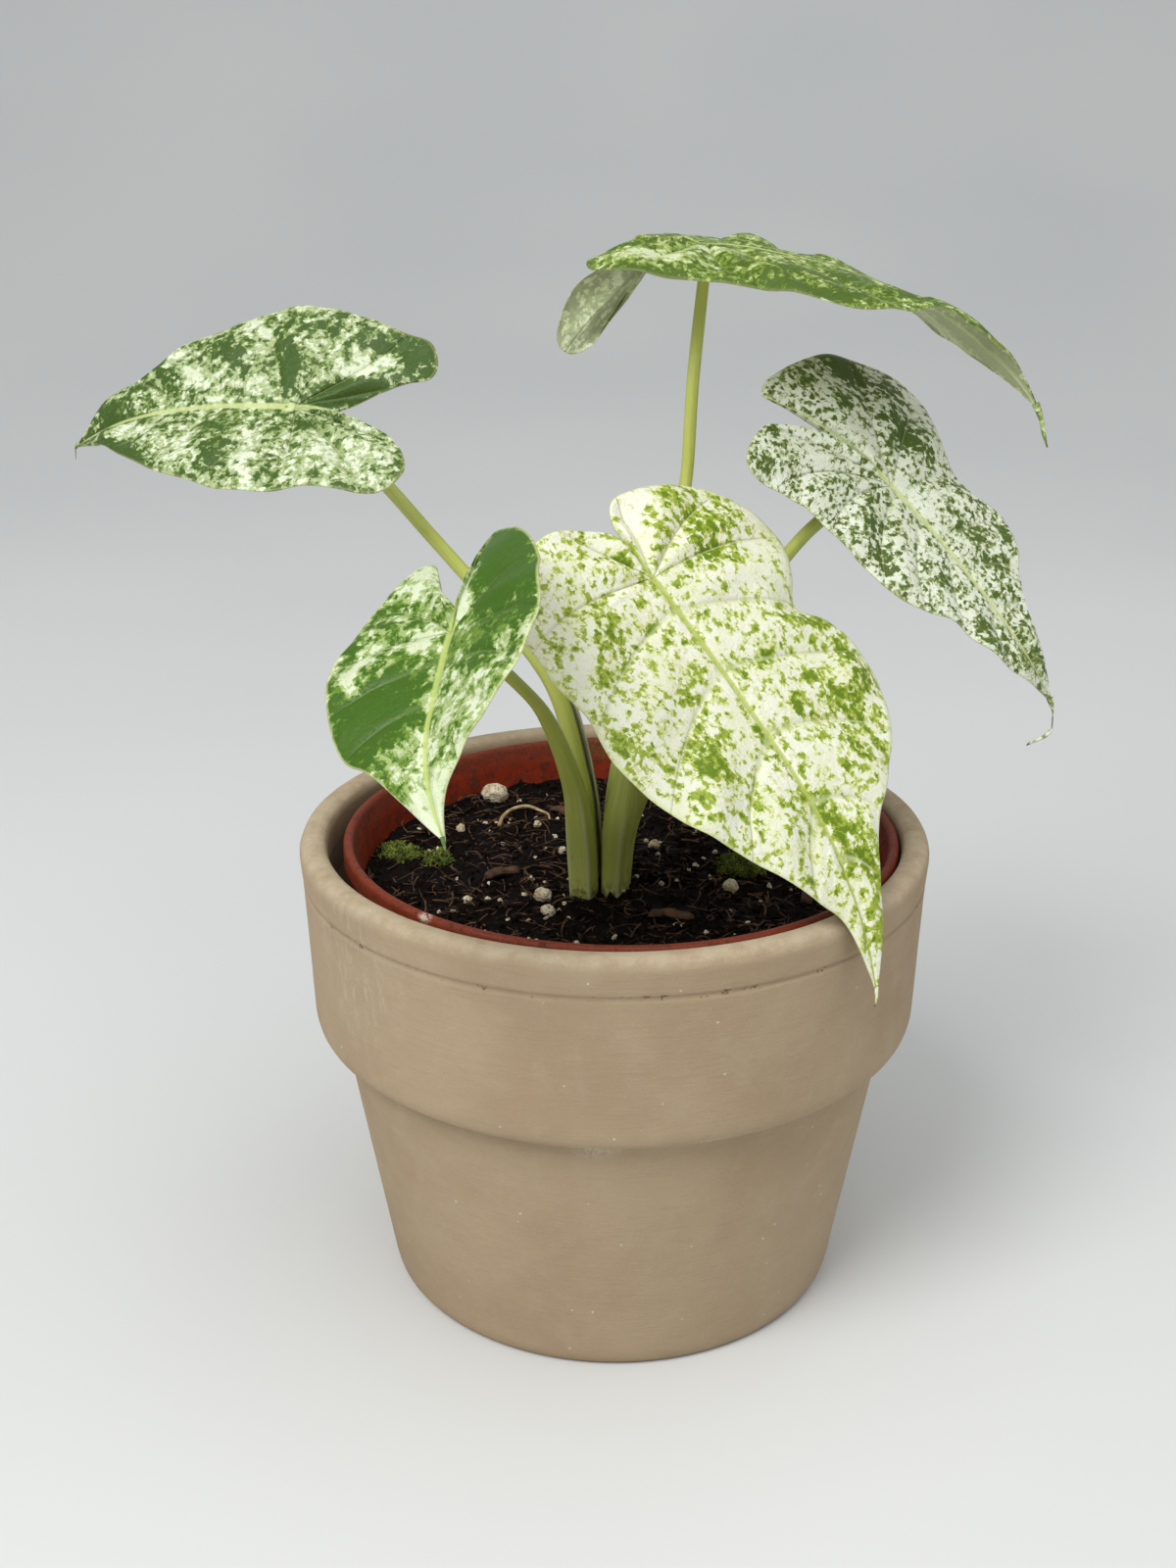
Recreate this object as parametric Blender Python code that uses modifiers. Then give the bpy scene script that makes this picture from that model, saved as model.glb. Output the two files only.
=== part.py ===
"""Potted alocasia: a small variegated alocasia in its red nursery pot, which stands in a clay cover pot.

Run with: blender --background --python part.py
Units are metres and +Z is up. The origin is the middle of the cover pot's flat base.
Sizes named in millimetres are multiplied by MM where they are used.
"""
import math

import bmesh
import bpy
from mathutils import Matrix, Quaternion, Vector, noise
from mathutils.bvhtree import BVHTree

MM = 0.001
MERGE = 0.00001
GAP = 0.3

# Cover pot: fired clay, straight tapered body below a wide plain band
COVER_HEIGHT = 107.0
COVER_RIM_RADIUS = 70.0
COVER_BAND_BOTTOM = 63.5
COVER_BAND_FOOT_RADIUS = 68.2
COVER_NECK_RADIUS = 62.4
COVER_BASE_RADIUS = 51.9
COVER_MOUTH_RADIUS = 63.8
COVER_FLOOR = 8.0
COVER_FLOOR_RADIUS = 46.5
COVER_STEPS = 56

# Nursery pot: thin red plastic, set a little to the right and front inside the cover pot
NURSERY_SHIFT = (1.5, -0.5)
NURSERY_BOTTOM = COVER_FLOOR + GAP
NURSERY_TOP = 106.0
NURSERY_LIP_RADIUS = 61.85
NURSERY_LIP_HEIGHT = 4.8
NURSERY_BODY_RADIUS = 59.3
NURSERY_BASE_RADIUS = 44.0
NURSERY_WALL = 0.9
NURSERY_FLOOR = 1.2
NURSERY_STEPS = 56
DRAIN_HOLES = 6
DRAIN_RADIUS = 4.0
DRAIN_CIRCLE = 31.0

# Potting mix
SOIL_TOP = 96.0
SOIL_UNEVEN = 0.9
SOIL_NOISE_SIZE = 14.0
SOIL_STEPS = 36

# Corm and the places where the petioles leave it
CORM_CENTRE = (-1.2, -11.3)
CORM_TOP = SOIL_TOP - 0.6
CORM_RADIUS = 10.8
CORM_DEPTH = 12.0
CORM_CLEARANCE = 0.5
CORM_STEPS = 20
PETIOLE_FOOT = CORM_TOP + GAP

# Leaf blades
BLADE_THICKNESS = 0.8
BLADE_ROWS = 20
BLADE_HALF_COLUMNS = 4
SPINE_STEPS = 80
SPINE_REACH = (-0.8, 1.15)
BEND_BACK = 0.6
BEND_MIDDLE = 0.5
RIB_SLANT = 1.3
CURL_SPAN = (6, 26)

# Each leaf: navel is the point where the petiole joins the blade. Heading, pitch and roll turn the
# midrib direction and the blade in degrees. droop, swing and twist bend the midrib: the first value
# holds 0.6 lengths behind the navel, the second half way to the tip and the third at the tip.
# fold lifts the half blades from the midrib (left, right), sag curves them down across their width,
# hang curves the back lobes down, and curl folds a back lobe down over the distances of CURL_SPAN
# behind the navel. left and right are the margins from sinus to tip, as (along the midrib, away from
# the midrib), seen when looking from the navel to the tip.
LEAVES = {
    "far_left": {
        "navel": (-68, 10, 198), "heading": 166, "pitch": 1, "roll": -39, "length": 58,
        "droop": (10, -13, -32), "swing": (0, 1, 11), "twist": (0, 0, 0),
        "fold": (7, 7), "sag": (0.4, 0.4), "hang": (0, 0), "curl": (0, 0),
        "left": [(-9, 0), (-15, 2), (-21, 6), (-26, 10), (-28, 15), (-26, 20), (-21, 23), (-11, 23),
                 (-1, 25), (7, 26), (16, 23), (29, 18), (38, 13), (47, 6), (58, 0)],
        "right": [(-9, 0), (-15, 3), (-21, 7), (-27, 10), (-28, 15), (-25, 19), (-18, 21), (-9, 24),
                  (0, 26), (8, 26), (19, 22), (31, 17), (39, 11), (49, 6), (58, 0)],
    },
    "top": {
        "navel": (20, 30, 230), "heading": -4, "pitch": -5, "roll": 0, "length": 84,
        "droop": (8, -15, -52), "swing": (0, 0, 0), "twist": (-5, -8, -45),
        "fold": (-1, -11), "sag": (2.0, 2.5), "hang": (6, 9), "curl": (-80, 0),
        "left": [(-8, 0), (-17, 3), (-24, 6), (-29, 9), (-32, 14), (-33, 19), (-30, 22.5), (-25, 22),
                 (-20, 18), (-12, 18), (-2, 23), (12, 29), (28, 28), (44, 20), (58, 12), (72, 5), (84, 0)],
        "right": [(-8, 0), (-16, 3), (-22, 7), (-25, 12), (-24, 17), (-18, 21), (-9, 23), (3, 23), (15, 25),
                  (27, 28), (38, 27), (47, 20), (57, 11), (71, 4), (84, 0)],
    },
    "right": {
        "navel": (61, 20, 179), "heading": -25, "pitch": -41, "roll": 24, "length": 62,
        "droop": (-4, -5, -37), "swing": (35, -4, 17), "twist": (0, 0, 0),
        "fold": (4, 4), "sag": (3.4, 3.4), "hang": (0, 0), "curl": (0, 0),
        "left": [(-9, 0), (-18, 0.6), (-27, 0.9), (-34, 1.2), (-35, 6.5), (-29, 15), (-24, 22),
                 (-18, 26), (-12, 28), (-7, 27), (-2, 23), (5, 20), (13, 20), (22, 20), (31, 16),
                 (40, 10), (50, 5), (62, 0)],
        "right": [(-9, 0), (-18, 1), (-28, 5), (-34, 9), (-37, 16), (-34, 22), (-20, 23), (-5, 23),
                  (8, 22), (19, 21), (27, 17), (33, 12), (39, 10), (46, 7), (53, 4), (62, 0)],
    },
    "front": {
        "navel": (7.4, -22, 169), "heading": -32, "pitch": -45, "roll": 14, "length": 95,
        "droop": (5, -1, -26), "swing": (0, -4, -16), "twist": (0, 0, 0),
        "fold": (2, 2), "sag": (1.7, 1.7), "hang": (0, 0), "curl": (0, 0),
        "left": [(-7, 0), (-13, 1), (-19, 6), (-18, 13), (-14, 24), (-10, 30), (-2, 36), (6, 38),
                 (13, 34), (20, 31), (27, 34), (34, 37), (42, 36), (51, 30), (59, 20), (67, 12),
                 (79, 7), (95, 0)],
        "right": [(-7, 0), (-13, 2), (-16, 8), (-18, 16), (-16, 23), (-9, 30), (-2, 36), (8, 36),
                  (19, 35), (29, 36), (38, 34), (48, 29), (57, 22), (67, 14), (78, 7), (95, 0)],
    },
    "low_left": {
        "navel": (-30.8, -62, 169.4), "heading": -98, "pitch": -21, "roll": 27, "length": 50,
        "droop": (5, -6, -30), "swing": (0, 0, 19), "twist": (0, 0, 0),
        "fold": (10, 10), "sag": (0.1, 0.1), "hang": (0, 0), "curl": (0, 0),
        "left": [(-7, 0), (-15, 1), (-23, 2), (-29, 4), (-27, 9), (-19, 15), (-7, 20), (2, 22),
                 (11, 23), (19, 21), (25, 17), (31, 12), (36, 7), (41, 3), (50, 0)],
        "right": [(-7, 0), (-13, 4), (-20, 7), (-26, 10), (-22, 13), (-14, 18), (-6, 21), (4, 23),
                  (12, 22), (20, 20), (28, 16), (33, 10), (40, 5), (50, 0)],
    },
}

# Each petiole: its route from the corm up to just under its blade, and its radius at foot and top
PETIOLES = {
    "far_left": {"route": [(-5.9, -8.4), (-6.4, -8.0, 109), (-8.0, -6.6, 122), (-13.2, -3.0, 140),
                           (-24.8, 1.0, 155), (-39.5, 6.0, 171), (-53.0, 10.0, 185)],
                 "radius": (2.3, 1.5)},
    "top": {"route": [(-0.6, -4.3), (1.4, -2.0, 118), (7.0, 4.0, 142), (12.5, 14.0, 162),
                      (15.9, 22.0, 180), (17.2, 26.0, 201)],
            "radius": (2.3, 1.4)},
    "right": {"route": [(0.9, -9.2), (2.4, -8.6, 109), (8.0, -5.0, 122), (17.0, 1.0, 137),
                        (26.0, 6.5, 149), (38.4, 15.0, 165), (49.0, 21.5, 173)],
              "radius": (2.2, 1.5)},
    "front": {"route": [(-0.2, -14.6), (0.4, -14.6, 108), (2.2, -14.6, 120), (4.2, -15.0, 136),
                        (5.0, -16.5, 153)],
              "radius": (3.0, 1.7)},
    "low_left": {"route": [(-6.4, -14.6), (-7.3, -14.8, 110), (-9.2, -16.0, 123), (-14.3, -22.0, 139),
                           (-20.0, -32.0, 150), (-26.2, -48.0, 161)],
                 "radius": (2.8, 1.3)},
}
PETIOLE_POINTS = 22
PETIOLE_NECK = 5.0
PETIOLE_SQUARE = 1.2
TAPER = 1.5

# Dry sheath that stands behind the left petioles
SHEATH_RADIUS = 3.6
SHEATH_THICKNESS = 0.5
SHEATH_ARC = (-25, 100)
SHEATH_REACH = 0.36
SHEATH_POINT = 0.02
SHEATH_ROWS = 10
SHEATH_COLUMNS = 6

# Loose things on the potting mix: place (x, y) and size
PERLITE = [(-28.5, 42.5, 3.2), (-15.6, -16.0, 1.9), (-14.4, -24.5, 1.7), (-11.5, 9.0, 1.2),
           (-18.0, 25.0, 1.1), (9.5, 12.0, 1.5), (-36.0, 21.0, 1.3), (25.5, -12.0, 1.8),
           (34.0, 18.0, 1.4), (-32.0, -18.0, 1.2)]
MOSS = [(-49.0, 8.0, 5.0, 4.0), (-40.0, 4.0, 3.5, 3.0), (30.0, 1.0, 6.0, 5.0)]
MOSS_HEIGHT = 2.4
BARK = [(-25.0, -4.0, 9.0, 3.0, 25), (12.0, -26.0, 11.0, 3.5, -15), (20.0, 28.0, 10.0, 4.0, 60),
        (-12.0, 33.0, 8.0, 3.0, -40), (42.0, -16.0, 8.0, 3.0, 80)]
BARK_THICKNESS = 1.6
ROOTLET_ROUTE = [(-27.0, 26.0), (-25.5, 31.0), (-21.0, 34.0), (-16.5, 31.5), (-15.0, 27.5)]
ROOTLET_RADIUS = 0.5
ROOTLET_RISE = 2.2


def clear_scene():
    """Remove every object of the scene, and its empty collections."""
    for item in list(bpy.data.objects):
        bpy.data.objects.remove(item, do_unlink=True)
    for group in list(bpy.data.collections):
        bpy.data.collections.remove(group)


def new_collection(name):
    """Add a collection to the scene."""
    group = bpy.data.collections.new(name)
    bpy.context.scene.collection.children.link(group)
    return group


def make_material(name, colour, roughness):
    """A plain Principled material."""
    mat = bpy.data.materials.new(name)
    mat.use_nodes = True
    shader = mat.node_tree.nodes["Principled BSDF"]
    shader.inputs["Base Color"].default_value = (*colour, 1.0)
    shader.inputs["Roughness"].default_value = roughness
    shader.inputs["Metallic"].default_value = 0.0
    mat.diffuse_color = (*colour, 1.0)
    return mat


def add_object(name, data, mat, group):
    """Put a mesh or a curve in the scene as a named object."""
    item = bpy.data.objects.new(name, data)
    if mat is not None:
        data.materials.append(mat)
    group.objects.link(item)
    return item


def smooth(item, angle=40):
    """Shade a mesh object smooth, with sharp edges past the angle."""
    item.data.shade_smooth()
    item.data.set_sharp_from_angle(angle=math.radians(angle))


def turned(name, profile, steps, mat, group, centre=(0.0, 0.0)):
    """A turned shape: a profile of (radius, height) in millimetres, swept round the vertical axis."""
    mesh = bpy.data.meshes.new(name)
    points = [(radius * MM, 0.0, height * MM) for radius, height in profile]
    mesh.from_pydata(points, [(i, i + 1) for i in range(len(points) - 1)], [])
    item = add_object(name, mesh, mat, group)
    item.location = (centre[0] * MM, centre[1] * MM, 0.0)
    screw = item.modifiers.new("Turn", "SCREW")
    screw.axis = "Z"
    screw.angle = math.tau
    screw.steps = steps
    screw.render_steps = steps
    screw.use_merge_vertices = True
    screw.merge_threshold = MERGE
    screw.use_smooth_shade = True
    return item


def made_mesh(item):
    """The evaluated mesh of an object, in world space, with its doubled points merged."""
    graph = bpy.context.evaluated_depsgraph_get()
    graph.update()
    mesh = bpy.data.meshes.new_from_object(item.evaluated_get(graph))
    mesh.transform(item.matrix_world)
    work = bmesh.new()
    work.from_mesh(mesh)
    bmesh.ops.remove_doubles(work, verts=work.verts, dist=MERGE)
    work.to_mesh(mesh)
    work.free()
    return mesh


def cut(item, cutter):
    """Cut one object out of another and hide the cutter from the model."""
    boolean = item.modifiers.new("Cut " + cutter.name, "BOOLEAN")
    boolean.operation = "DIFFERENCE"
    boolean.object = cutter
    cutter.hide_render = True
    cutter.display_type = "WIRE"


def catmull(points, t):
    """A point on the smooth curve through a list of vectors, t from 0 to 1."""
    last = len(points) - 1
    place = min(max(t, 0.0), 1.0) * last
    i = min(int(place), last - 1)
    f = place - i
    before = points[i - 1] if i > 0 else 2 * points[0] - points[1]
    after = points[i + 2] if i + 2 <= last else 2 * points[last] - points[last - 1]
    here, there = points[i], points[i + 1]
    return 0.5 * (2 * here + (there - before) * f
                  + (2 * before - 5 * here + 4 * there - after) * f * f
                  + (3 * here - 3 * there + after - before) * f ** 3)


class LeafSurface:
    """The bent surface of one leaf: x runs along the midrib from the navel, y to its left."""

    def __init__(self, spec):
        self.spec = spec
        heading, pitch, roll = (math.radians(spec[key]) for key in ("heading", "pitch", "roll"))
        along = Vector((math.cos(heading) * math.cos(pitch), math.sin(heading) * math.cos(pitch),
                        math.sin(pitch)))
        flat = Vector((-math.sin(heading), math.cos(heading), 0.0))
        up = along.cross(flat)
        side = flat * math.cos(roll) + up * math.sin(roll)
        up = up * math.cos(roll) - flat * math.sin(roll)
        length = spec["length"] * MM
        self.first = SPINE_REACH[0] * length
        self.step = (SPINE_REACH[1] - SPINE_REACH[0]) * length / SPINE_STEPS
        self.frames = [self.turn(along, side, up, (self.first + i * self.step) / length)
                       for i in range(SPINE_STEPS + 1)]
        self.line = [Vector((0.0, 0.0, 0.0))]
        for one, two in zip(self.frames, self.frames[1:]):
            self.line.append(self.line[-1] + (one[0] + two[0]) * 0.5 * self.step)
        shift = Vector(spec["navel"]) * MM - self.blend(self.line, 0.0)
        self.line = [point + shift for point in self.line]

    def bend(self, key, place):
        """A midrib bend in radians at a place given in leaf lengths."""
        back, middle, tip = self.spec[key]
        if place < 0:
            return math.radians(back) * min(-place / BEND_BACK, 1.0)
        if place < BEND_MIDDLE:
            return math.radians(middle) * place / BEND_MIDDLE
        part = min((place - BEND_MIDDLE) / (1 - BEND_MIDDLE), 1.0)
        return math.radians(middle + (tip - middle) * part)

    def turn(self, along, side, up, place):
        """Turn the leaf's own axes by the bends of one place on the midrib."""
        swing = Quaternion(up, self.bend("swing", place))
        along = swing @ along
        side = swing @ side
        droop = Quaternion(side, -self.bend("droop", place))
        along = droop @ along
        up = droop @ up
        twist = Quaternion(along, self.bend("twist", place))
        return along, twist @ side, twist @ up

    def blend(self, values, x):
        """Read a list of vectors kept at even steps along the midrib."""
        place = min(max((x - self.first) / self.step, 0.0), SPINE_STEPS - 0.001)
        i = int(place)
        return values[i].lerp(values[i + 1], place - i)

    def point(self, x, y):
        """The place in space of a flat leaf point."""
        half = 0 if y >= 0 else 1
        fold = math.radians(self.spec["fold"][half])
        behind = min(max((-x / MM - CURL_SPAN[0]) / (CURL_SPAN[1] - CURL_SPAN[0]), 0.0), 1.0)
        fold += math.radians(self.spec["curl"][half]) * behind * behind * (3 - 2 * behind)
        back = min(x - self.spec["left"][0][0] * MM, 0.0)
        lift = abs(y) * math.sin(fold) - self.spec["sag"][half] * y * y
        lift -= self.spec["hang"][half] * back * back
        side = self.blend([frame[1] for frame in self.frames], x)
        up = self.blend([frame[2] for frame in self.frames], x)
        return self.blend(self.line, x) + side * (y * math.cos(fold)) + up * lift


def rib_point(spec, t, across):
    """A flat leaf point: t runs from the sinus to the tip, across from -1 (right margin) to 1 (left)."""
    margin = [Vector((x, y, 0.0)) for x, y in spec["left" if across >= 0 else "right"]]
    edge = catmull(margin, t)
    length = spec["length"]
    start = length * (max(edge.x, 0.0) / length) ** RIB_SLANT if t < 1 else length
    x = start + (edge.x - start) * abs(across)
    y = edge.y * abs(across) * (1 if across >= 0 else -1)
    return x * MM, y * MM


def make_blade(name, spec, mat, group):
    """A blade: a grid whose rows are ribs from the midrib to the margins, bent and given thickness."""
    surface = LeafSurface(spec)
    columns = 2 * BLADE_HALF_COLUMNS
    work = bmesh.new()
    bmesh.ops.create_grid(work, x_segments=BLADE_ROWS, y_segments=columns, size=1.0)
    for vert in work.verts:
        t = (vert.co.x + 1) / 2
        x, y = rib_point(spec, t, vert.co.y)
        vert.co = surface.point(x, y)
    bmesh.ops.remove_doubles(work, verts=work.verts, dist=MERGE)
    mesh = bpy.data.meshes.new(name)
    work.to_mesh(mesh)
    work.free()
    item = add_object(name, mesh, mat, group)
    solid = item.modifiers.new("Thickness", "SOLIDIFY")
    solid.thickness = BLADE_THICKNESS * MM
    solid.offset = 0.0
    mesh.shade_smooth()
    return item


def petiole_route(key):
    """The petiole's points in metres, from the corm to just under the blade."""
    spec = PETIOLES[key]
    surface = LeafSurface(LEAVES[key])
    up = surface.blend([frame[2] for frame in surface.frames], 0.0)
    navel = Vector(LEAVES[key]["navel"]) * MM
    foot = Vector((*spec["route"][0], PETIOLE_FOOT)) * MM
    points = [foot] + [Vector(point) * MM for point in spec["route"][1:]]
    points.append(navel - up * PETIOLE_NECK * MM)
    points.append(navel - up * (BLADE_THICKNESS / 2 + GAP + 0.1) * MM)
    return points


def sampled(points, count):
    """Points at even steps along the smooth curve through a few chosen ones."""
    return [catmull(points, i / (count - 1)) for i in range(count)]


def make_tube(name, points, radii, mat, group, sides=2):
    """A tapered tube through the points, with closed ends."""
    curve = bpy.data.curves.new(name, "CURVE")
    curve.dimensions = "3D"
    curve.bevel_depth = 1.0
    curve.bevel_resolution = sides
    curve.use_fill_caps = True
    spline = curve.splines.new("POLY")
    spline.points.add(len(points) - 1)
    for i, point in enumerate(spline.points):
        t = i / (len(points) - 1)
        point.co = (*points[i], 1.0)
        point.radius = (radii[0] + (radii[1] - radii[0]) * min(t * TAPER, 1.0)) * MM
    return add_object(name, curve, mat, group)


def make_petiole(name, key, mat, group):
    """A petiole: it leaves the corm and meets the blade squarely, so that its ends lie flat to them."""
    route = petiole_route(key)
    points = sampled(route, PETIOLE_POINTS)
    points.insert(1, route[0] + Vector((0.0, 0.0, PETIOLE_SQUARE * MM)))
    square = (route[-2] - route[-1]).normalized()
    points[-2] = route[-1] + square * PETIOLE_SQUARE * MM
    return make_tube(name, points, PETIOLES[key]["radius"], mat, group)


def make_cover_pot(mat, group):
    """The clay cover pot, one turned wall with a flat closed base."""
    top, rim = COVER_HEIGHT, COVER_RIM_RADIUS
    mouth, band = COVER_MOUTH_RADIUS, COVER_BAND_BOTTOM
    profile = [(0, COVER_FLOOR), (COVER_FLOOR_RADIUS - 0.9, COVER_FLOOR),
               (COVER_FLOOR_RADIUS - 0.2, COVER_FLOOR + 0.7), (COVER_FLOOR_RADIUS, COVER_FLOOR + 3),
               (mouth - 2.3, top - 24), (mouth, top - 15), (mouth, top - 2.0),
               (mouth + 0.7, top - 0.6), (mouth + 2.0, top), (rim - 2.2, top),
               (rim - 0.6, top - 1.0), (rim, top - 3.0),
               (COVER_BAND_FOOT_RADIUS, band + 2.6), (COVER_BAND_FOOT_RADIUS - 0.7, band + 0.9),
               (COVER_BAND_FOOT_RADIUS - 2.2, band), (COVER_NECK_RADIUS + 0.8, band - 0.4),
               (COVER_NECK_RADIUS, band - 1.4), (COVER_BASE_RADIUS + 0.5, 2.4),
               (COVER_BASE_RADIUS - 0.2, 0.7), (COVER_BASE_RADIUS - 1.2, 0), (0, 0)]
    return turned("cover_pot", profile, COVER_STEPS, mat, group)


def nursery_wall_radius(height):
    """Inner radius of the nursery pot at a height, in millimetres."""
    part = (height - NURSERY_BOTTOM) / (NURSERY_TOP - NURSERY_LIP_HEIGHT - NURSERY_BOTTOM)
    return NURSERY_BASE_RADIUS + (NURSERY_BODY_RADIUS - NURSERY_BASE_RADIUS) * part - NURSERY_WALL


def make_nursery_pot(mat, group, cutters):
    """The thin red pot with a rolled lip, a flat base and drain holes."""
    lip_bottom = NURSERY_TOP - NURSERY_LIP_HEIGHT
    floor = NURSERY_BOTTOM + NURSERY_FLOOR
    inner_top = nursery_wall_radius(lip_bottom)
    profile = [(0, floor), (nursery_wall_radius(floor) - 1.5, floor),
               (nursery_wall_radius(floor + 1.5), floor + 1.5), (inner_top, lip_bottom),
               (inner_top + 1.2, NURSERY_TOP - 0.5), (inner_top + 1.7, NURSERY_TOP),
               (NURSERY_LIP_RADIUS - 0.5, NURSERY_TOP), (NURSERY_LIP_RADIUS, NURSERY_TOP - 0.5),
               (NURSERY_LIP_RADIUS, lip_bottom), (NURSERY_BODY_RADIUS, lip_bottom),
               (NURSERY_BASE_RADIUS, NURSERY_BOTTOM + 1.0),
               (NURSERY_BASE_RADIUS - 1.0, NURSERY_BOTTOM), (0, NURSERY_BOTTOM)]
    item = turned("nursery_pot", profile, NURSERY_STEPS, mat, group, NURSERY_SHIFT)
    for i in range(DRAIN_HOLES):
        angle = math.tau * i / DRAIN_HOLES
        place = (NURSERY_SHIFT[0] + DRAIN_CIRCLE * math.cos(angle),
                 NURSERY_SHIFT[1] + DRAIN_CIRCLE * math.sin(angle))
        hole = make_rod("drain_hole_%d" % (i + 1), place, DRAIN_RADIUS,
                        NURSERY_BOTTOM - 2, floor + 2, 12, cutters)
        cut(item, hole)
    return item


def make_rod(name, place, radius, bottom, top, sides, group, mat=None):
    """An upright cylinder between two heights."""
    bpy.ops.mesh.primitive_cylinder_add(vertices=sides, radius=radius * MM, depth=(top - bottom) * MM,
                                        location=(place[0] * MM, place[1] * MM,
                                                  (top + bottom) / 2 * MM))
    item = bpy.context.object
    item.name = name
    for owner in list(item.users_collection):
        owner.objects.unlink(item)
    group.objects.link(item)
    if mat is not None:
        item.data.materials.append(mat)
    return item


def make_soil(mat, group, cutters):
    """The potting mix: it fills the nursery pot, with an uneven top and a pit for the corm."""
    bottom = NURSERY_BOTTOM + NURSERY_FLOOR + GAP
    clear = GAP + 0.1
    edge = nursery_wall_radius(SOIL_TOP) - clear
    profile = [(0, SOIL_TOP)]
    profile += [(edge * i / 6, SOIL_TOP) for i in range(1, 7)]
    profile += [(nursery_wall_radius(bottom + 2) - clear - 0.2, bottom + 2),
                (nursery_wall_radius(bottom) - clear - 1.6, bottom), (0, bottom)]
    shape = turned("soil_shape", profile, SOIL_STEPS, None, group, NURSERY_SHIFT)
    mesh = made_mesh(shape)
    bpy.data.objects.remove(shape, do_unlink=True)
    inner = edge * 0.9 * MM
    for vert in mesh.vertices:
        away = math.hypot(vert.co.x - NURSERY_SHIFT[0] * MM, vert.co.y - NURSERY_SHIFT[1] * MM)
        if vert.co.z > (SOIL_TOP - 0.1) * MM and away < inner:
            bump = noise.noise(vert.co / (SOIL_NOISE_SIZE * MM))
            vert.co.z += 2 * SOIL_UNEVEN * MM * bump
    item = add_object("soil", mesh, mat, group)
    pit = make_rod("corm_pit", CORM_CENTRE, CORM_RADIUS + CORM_CLEARANCE,
                   CORM_TOP - CORM_DEPTH - CORM_CLEARANCE, SOIL_TOP + 5, 24, cutters)
    cut(item, pit)
    smooth(item)
    return item


def make_corm(mat, group):
    """The corm: a squat rooted body whose flat crown carries the petioles."""
    top, radius = CORM_TOP, CORM_RADIUS
    profile = [(0, top), (radius - 0.7, top), (radius, top - 0.8), (radius, top - 3.0),
               (radius * 0.85, top - 7.0), (radius * 0.55, top - 10.5), (0, top - CORM_DEPTH)]
    return turned("corm", profile, CORM_STEPS, mat, group, CORM_CENTRE)


def make_sheath(mat, group):
    """The dry sheath: a thin pointed shell that wraps the back of the far left petiole."""
    points = petiole_route("far_left")
    work = bmesh.new()
    bmesh.ops.create_grid(work, x_segments=SHEATH_ROWS, y_segments=SHEATH_COLUMNS, size=1.0)
    low, high = (math.radians(angle) for angle in SHEATH_ARC)
    middle = (low + high) / 2
    for vert in work.verts:
        t = (vert.co.x + 1) / 2
        centre = catmull(points, t * SHEATH_REACH)
        narrow = math.sqrt(max(1 - t ** 3, SHEATH_POINT))
        angle = middle + (high - low) / 2 * narrow * vert.co.y
        radius = (SHEATH_RADIUS - 0.4 * t) * MM
        vert.co = centre + Vector((radius * math.cos(angle), radius * math.sin(angle), 0.0))
    mesh = bpy.data.meshes.new("dry_sheath")
    work.to_mesh(mesh)
    work.free()
    item = add_object("dry_sheath", mesh, mat, group)
    solid = item.modifiers.new("Thickness", "SOLIDIFY")
    solid.thickness = SHEATH_THICKNESS * MM
    solid.offset = 0.0
    mesh.shade_smooth()
    return item


def seat_on(item, ground):
    """Lower an object of loose mesh points until it lies just above the ground."""
    least = None
    for vert in item.data.vertices:
        start = Vector((vert.co.x, vert.co.y, 0.2))
        hit = ground.ray_cast(start, Vector((0, 0, -1)))
        if hit[0] is not None:
            clear = vert.co.z - hit[0].z
            least = clear if least is None else min(least, clear)
    item.data.transform(Matrix.Translation((0, 0, GAP * MM - least)))


def make_grain(name, place, radii, rough, mat, group, ground, turn=0.0, detail=2):
    """A small rounded lump that lies on the potting mix."""
    work = bmesh.new()
    bmesh.ops.create_icosphere(work, subdivisions=detail, radius=1.0)
    seed = Vector((place[0], place[1], 0.0))
    spin = Matrix.Rotation(math.radians(turn), 3, "Z")
    for vert in work.verts:
        swell = 1 + rough * noise.noise(vert.co * 1.3 + seed)
        size = Vector(radii) * swell * MM
        shape = Vector((vert.co.x * size.x, vert.co.y * size.y, vert.co.z * size.z))
        vert.co = spin @ shape + Vector((place[0], place[1], SOIL_TOP + 10)) * MM
    mesh = bpy.data.meshes.new(name)
    work.to_mesh(mesh)
    work.free()
    item = add_object(name, mesh, mat, group)
    seat_on(item, ground)
    smooth(item, 60)
    return item


def make_bark(name, spec, mat, group, ground):
    """A flat chip of bark with broken edges."""
    x, y, length, width, turn = spec
    work = bmesh.new()
    bmesh.ops.create_cube(work, size=1.0)
    bmesh.ops.bevel(work, geom=work.edges[:], offset=0.18, segments=1, affect="EDGES")
    spin = Matrix.Rotation(math.radians(turn), 3, "Z")
    for vert in work.verts:
        shape = Vector((vert.co.x * length, vert.co.y * width, vert.co.z * BARK_THICKNESS)) * MM
        vert.co = spin @ shape + Vector((x, y, SOIL_TOP + 10)) * MM
    mesh = bpy.data.meshes.new(name)
    work.to_mesh(mesh)
    work.free()
    item = add_object(name, mesh, mat, group)
    seat_on(item, ground)
    return item


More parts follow.
